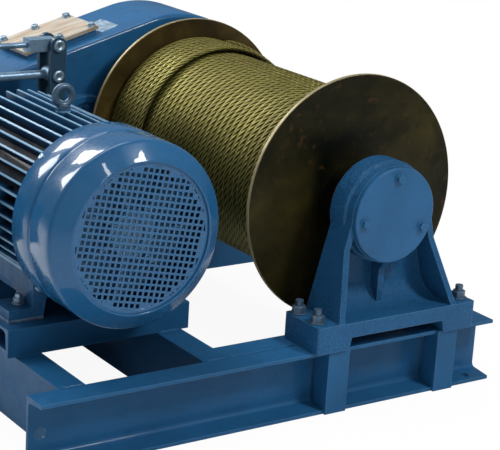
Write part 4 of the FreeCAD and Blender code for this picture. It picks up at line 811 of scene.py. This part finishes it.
def hatch_details():
    """Six bolts on the sloping inspection cover, and a bare plate beside it."""
    big_end, small_end, between = 0.243, 0.100, 0.517  # radii of the case and their distance
    slope = math.asin((big_end - small_end) / between)
    along = Vector((math.cos(slope), 0, math.sin(slope)))
    normal = Vector((-math.sin(slope), 0, math.cos(slope)))
    low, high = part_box("inspection_cover")
    middle = Vector(((low.x + high.x) / 2, (low.y + high.y) / 2, (low.z + high.z) / 2))
    pile = Pile()
    pitch, half_width, half_lid = 0.080, 0.058, 0.004
    for share in (-1, 0, 1):
        for side in (-1, 1):
            place = middle + along * (pitch * share) + Y * (half_width * side)
            bolt(pile, place + normal * half_lid, normal, 0.010, random.random())
    pile.made("hatch_bolts", "frame", "bare_steel", PLATED)
    place = middle + along * 0.117 - Y * 0.030 - normal * 0.0135
    bare_plate(Matrix.Translation(place) @ Matrix((along, Y, normal)).transposed().to_4x4())


def bare_plate(matrix):
    """Thin riveted plate with nothing on it."""
    half_x, half_y, half_z = 0.023, 0.038, 0.0012
    points = [(x * half_x, y * half_y, z * half_z) for z in (-1, 1)
              for x, y in ((-1, -1), (1, -1), (1, 1), (-1, 1))]
    faces = [(0, 1, 2, 3), (4, 5, 6, 7), (0, 1, 5, 4), (1, 2, 6, 5), (2, 3, 7, 6), (3, 0, 4, 7)]
    plate = Pile()
    plate.add(points, faces, matrix, False)
    for x in (-0.018, 0.018):
        for y in (-0.033, 0.033):
            rivet = matrix @ Matrix.Translation((x, y, 0.0010))
            plate.turned([(0, 0), (0.0035, 0), (0.0028, 0.0014), (0, 0.0018)], rivet, 14)
    plate.made("bare_plate", "frame", "bare_steel", PLATE_AND_REFLECTION, 0.0004)


def box_details():
    """Cable gland under the terminal box and the screws of its lid."""
    low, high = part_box("terminal_box")
    pile = Pile()
    place = Vector(((low.x + high.x) / 2, (low.y + high.y) / 2, low.z))
    hexagon(pile, facing(place + Z * 0.004, -Z), 0.036, 0.014)
    pile.turned([(0, 0), (0.015, 0), (0.015, 0.010), (0.012, 0.014), (0, 0.014)],
                facing(place - Z * 0.010, -Z), 28)
    pile.made("cable_gland", "frame", "dark_iron", RUBBER)
    screws = Pile()
    inset = 0.010
    for y in (low.y + inset, high.y - inset):
        for z in (low.z + inset, high.z - inset):
            screws.turned([(0, 0), (0.0050, 0), (0.0048, 0.0015), (0.0034, 0.0026), (0, 0.0028)],
                          facing(Vector((low.x, y, z)), -X), 18)
    screws.made("box_screws", "frame", "bare_steel", PLATED)


def weld(pile, start, end, size=0.0035):
    """Rippled bead between two points, thin at its ends."""
    start, end = Vector(start), Vector(end)
    ripple = 0.004
    count = max(8, int((end - start).length / ripple))
    line, radii = [], []
    for index in range(count + 1):
        line.append(start.lerp(end, index / count))
        swell = 0.82 + 0.18 * (index % 2) + random.uniform(-0.05, 0.05)
        radii.append(size * swell * (0.5 if index in (0, count) else 1.0))
    pile.swept(line, radii, 8)


def flange_weld(pile, x, y):
    """Bead across a channel's top flange, from near its web to near its tip."""
    inset = 0.003
    weld(pile, (x + inset, y, BEAM_TOP), (x + FLANGE_WIDTH - inset, y, BEAM_TOP))


def frame_welds():
    """Beads where the channels meet, and round the angle posts."""
    pile = Pile()
    cross_low, cross_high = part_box("cross_members")
    inner_low, inner_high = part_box("front_beam_inner")
    right = inner_low.x - FLANGE_WIDTH
    for x in (cross_low.x, right):
        for y in (cross_low.y, cross_high.y):
            flange_weld(pile, x, y)
            weld(pile, (x, y, 0.006), (x, y, BEAM_TOP - 0.004))
    weld(pile, (inner_low.x + 0.003, inner_low.y, BEAM_TOP),
         (inner_high.x - 0.004, inner_low.y, BEAM_TOP), 0.0028)
    half_pitch, half_leg = 0.132, 0.024  # of the angle posts
    for centre in (DRUM.x - half_pitch, DRUM.x + half_pitch):
        for side in (-half_leg, half_leg):
            for z, reach in ((0.003, 0.006), (BEAM_TOP - 0.003, -0.006)):
                x, y = centre + side, FRONT - 0.001
                weld(pile, (x, y, z), (x, y, z + reach), 0.0025)
    ties_low, ties_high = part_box("rear_ties")
    for x in (ties_low.x, ties_high.x - FLANGE_WIDTH):
        for y in (ties_low.y, ties_high.y):
            flange_weld(pile, x, y)
    for node in ("motor_supports", "brake_support"):
        low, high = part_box(node)
        for y in (low.y, high.y):
            for x in (cross_low.x, right):
                flange_weld(pile, x, y)
    pile.made("frame_welds", "frame", "beam_paint", BEAM)


pedestal_studs()
cover_bolts()
cap_bolts()
case_bolts()
motor_bolts()
cowl_screws()
grille_mesh(cowl_sheet())
brake_details()
hatch_details()
box_details()
frame_welds()

# --------------------------------------------------------------------------
# Floor, light and camera
# --------------------------------------------------------------------------


def floor():
    """Pale floor that keeps the shadow near the winch and fades to white further out."""
    mesh = bpy.data.meshes.new("floor")
    reach = 9.0
    points = [(x * reach, y * reach, 0) for x, y in ((-1, -1), (1, -1), (1, 1), (-1, 1))]
    mesh.from_pydata(points, [], [(0, 1, 2, 3)])
    item = bpy.data.objects.new("floor", mesh)
    bpy.context.collection.objects.link(item)
    pale = Finish("floor_pale", Base_Color=(0.92, 0.93, 0.94, 1.0), Roughness=0.9)
    length = pale.node("ShaderNodeVectorMath", {0: pale.where}, operation="LENGTH")
    far = pale.ramp(length.outputs["Value"], 0.3, 1.2, 0.93, 1.0)
    seen = pale.node("ShaderNodeLightPath").outputs["Is Camera Ray"]
    white = pale.node("ShaderNodeEmission", {"Color": (1, 1, 1, 1), "Strength": 1.0})
    mixed = pale.node("ShaderNodeMixShader", {0: pale.math("MULTIPLY", far, seen),
                                              1: pale.shader.outputs[0], 2: white.outputs[0]})
    pale.tree.links.new(mixed.outputs[0], pale.tree.nodes["Material Output"].inputs["Surface"])
    mesh.materials.append(pale.material)


def softbox(name, place, target, size, power):
    """White area light of a size in metres and a power in watts."""
    data = bpy.data.lights.new(name, "AREA")
    data.shape, data.size, data.size_y = "RECTANGLE", size[0], size[1]
    data.energy = power
    lamp = bpy.data.objects.new(name, data)
    lamp.location = place
    lamp.rotation_euler = (Vector(place) - Vector(target)).to_track_quat("Z", "Y").to_euler()
    bpy.context.collection.objects.link(lamp)


def studio():
    """White background, soft light from above all round, and six softboxes."""
    world = bpy.data.worlds.new("studio")
    world.use_nodes = True
    tree = world.node_tree
    white = (1, 1, 1, 1)
    way = new_node(tree, "ShaderNodeTexCoord").outputs["Generated"]
    height = new_node(tree, "ShaderNodeSeparateXYZ", {0: way}).outputs["Z"]
    level = new_node(tree, "ShaderNodeMapRange", {
        "Value": height, "From Min": -0.1, "From Max": 0.7, "To Min": 0.10, "To Max": 0.34})
    sky = tree.nodes["Background"]
    sky.inputs["Color"].default_value = white
    tree.links.new(level.outputs[0], sky.inputs["Strength"])
    backdrop = new_node(tree, "ShaderNodeBackground", {"Color": white})
    seen = new_node(tree, "ShaderNodeLightPath").outputs["Is Camera Ray"]
    mixed = new_node(tree, "ShaderNodeMixShader", {
        0: seen, 1: sky.outputs[0], 2: backdrop.outputs[0]})
    tree.links.new(mixed.outputs[0], tree.nodes["World Output"].inputs["Surface"])
    bpy.context.scene.world = world
    middle = (0.0, 0.0, 0.3)
    softbox("key", (1.1, -2.3, 2.7), middle, (0.6, 0.6), 60.0)
    softbox("top", (-0.2, 0.6, 3.4), middle, (2.2, 1.6), 38.0)
    softbox("window_left", (-1.45, 2.0, 1.9), MOTOR, (0.7, 1.0), 36.0)
    softbox("window_right", (-0.35, 2.0, 2.1), MOTOR, (0.7, 1.0), 36.0)
    softbox("strip", (-0.55, -2.9, 2.3), MOTOR, (0.14, 1.3), 12.0)
    softbox("room", (-2.6, -2.6, 1.2), middle, (3.6, 2.8), 8.0)


# Camera fitted to the photograph: the point that it looks at, metres to it, and angles
TARGET = Vector((-0.1017, -0.530, 0.3954))
DISTANCE = 2.980
TURN, TILT, ROLL = (math.radians(angle) for angle in (-34.939, 16.688, 3.562))
LENS = 122.23  # mm


def camera():
    """Camera at the photograph's angle."""
    flat = math.cos(TILT)
    back = Vector((math.sin(TURN) * flat, -math.cos(TURN) * flat, math.sin(TILT)))
    level = Vector((math.cos(TURN), math.sin(TURN), 0.0))
    up = back.cross(level)
    right = math.cos(ROLL) * level + math.sin(ROLL) * up
    data = bpy.data.cameras.new("camera")
    data.lens = LENS
    eye = bpy.data.objects.new("camera", data)
    eye.matrix_world = Matrix((right, back.cross(right), back)).transposed().to_4x4()
    eye.matrix_world.translation = TARGET + back * DISTANCE
    bpy.context.collection.objects.link(eye)
    bpy.context.scene.camera = eye


floor()
studio()
camera()
bpy.context.scene.view_settings.view_transform = "Standard"
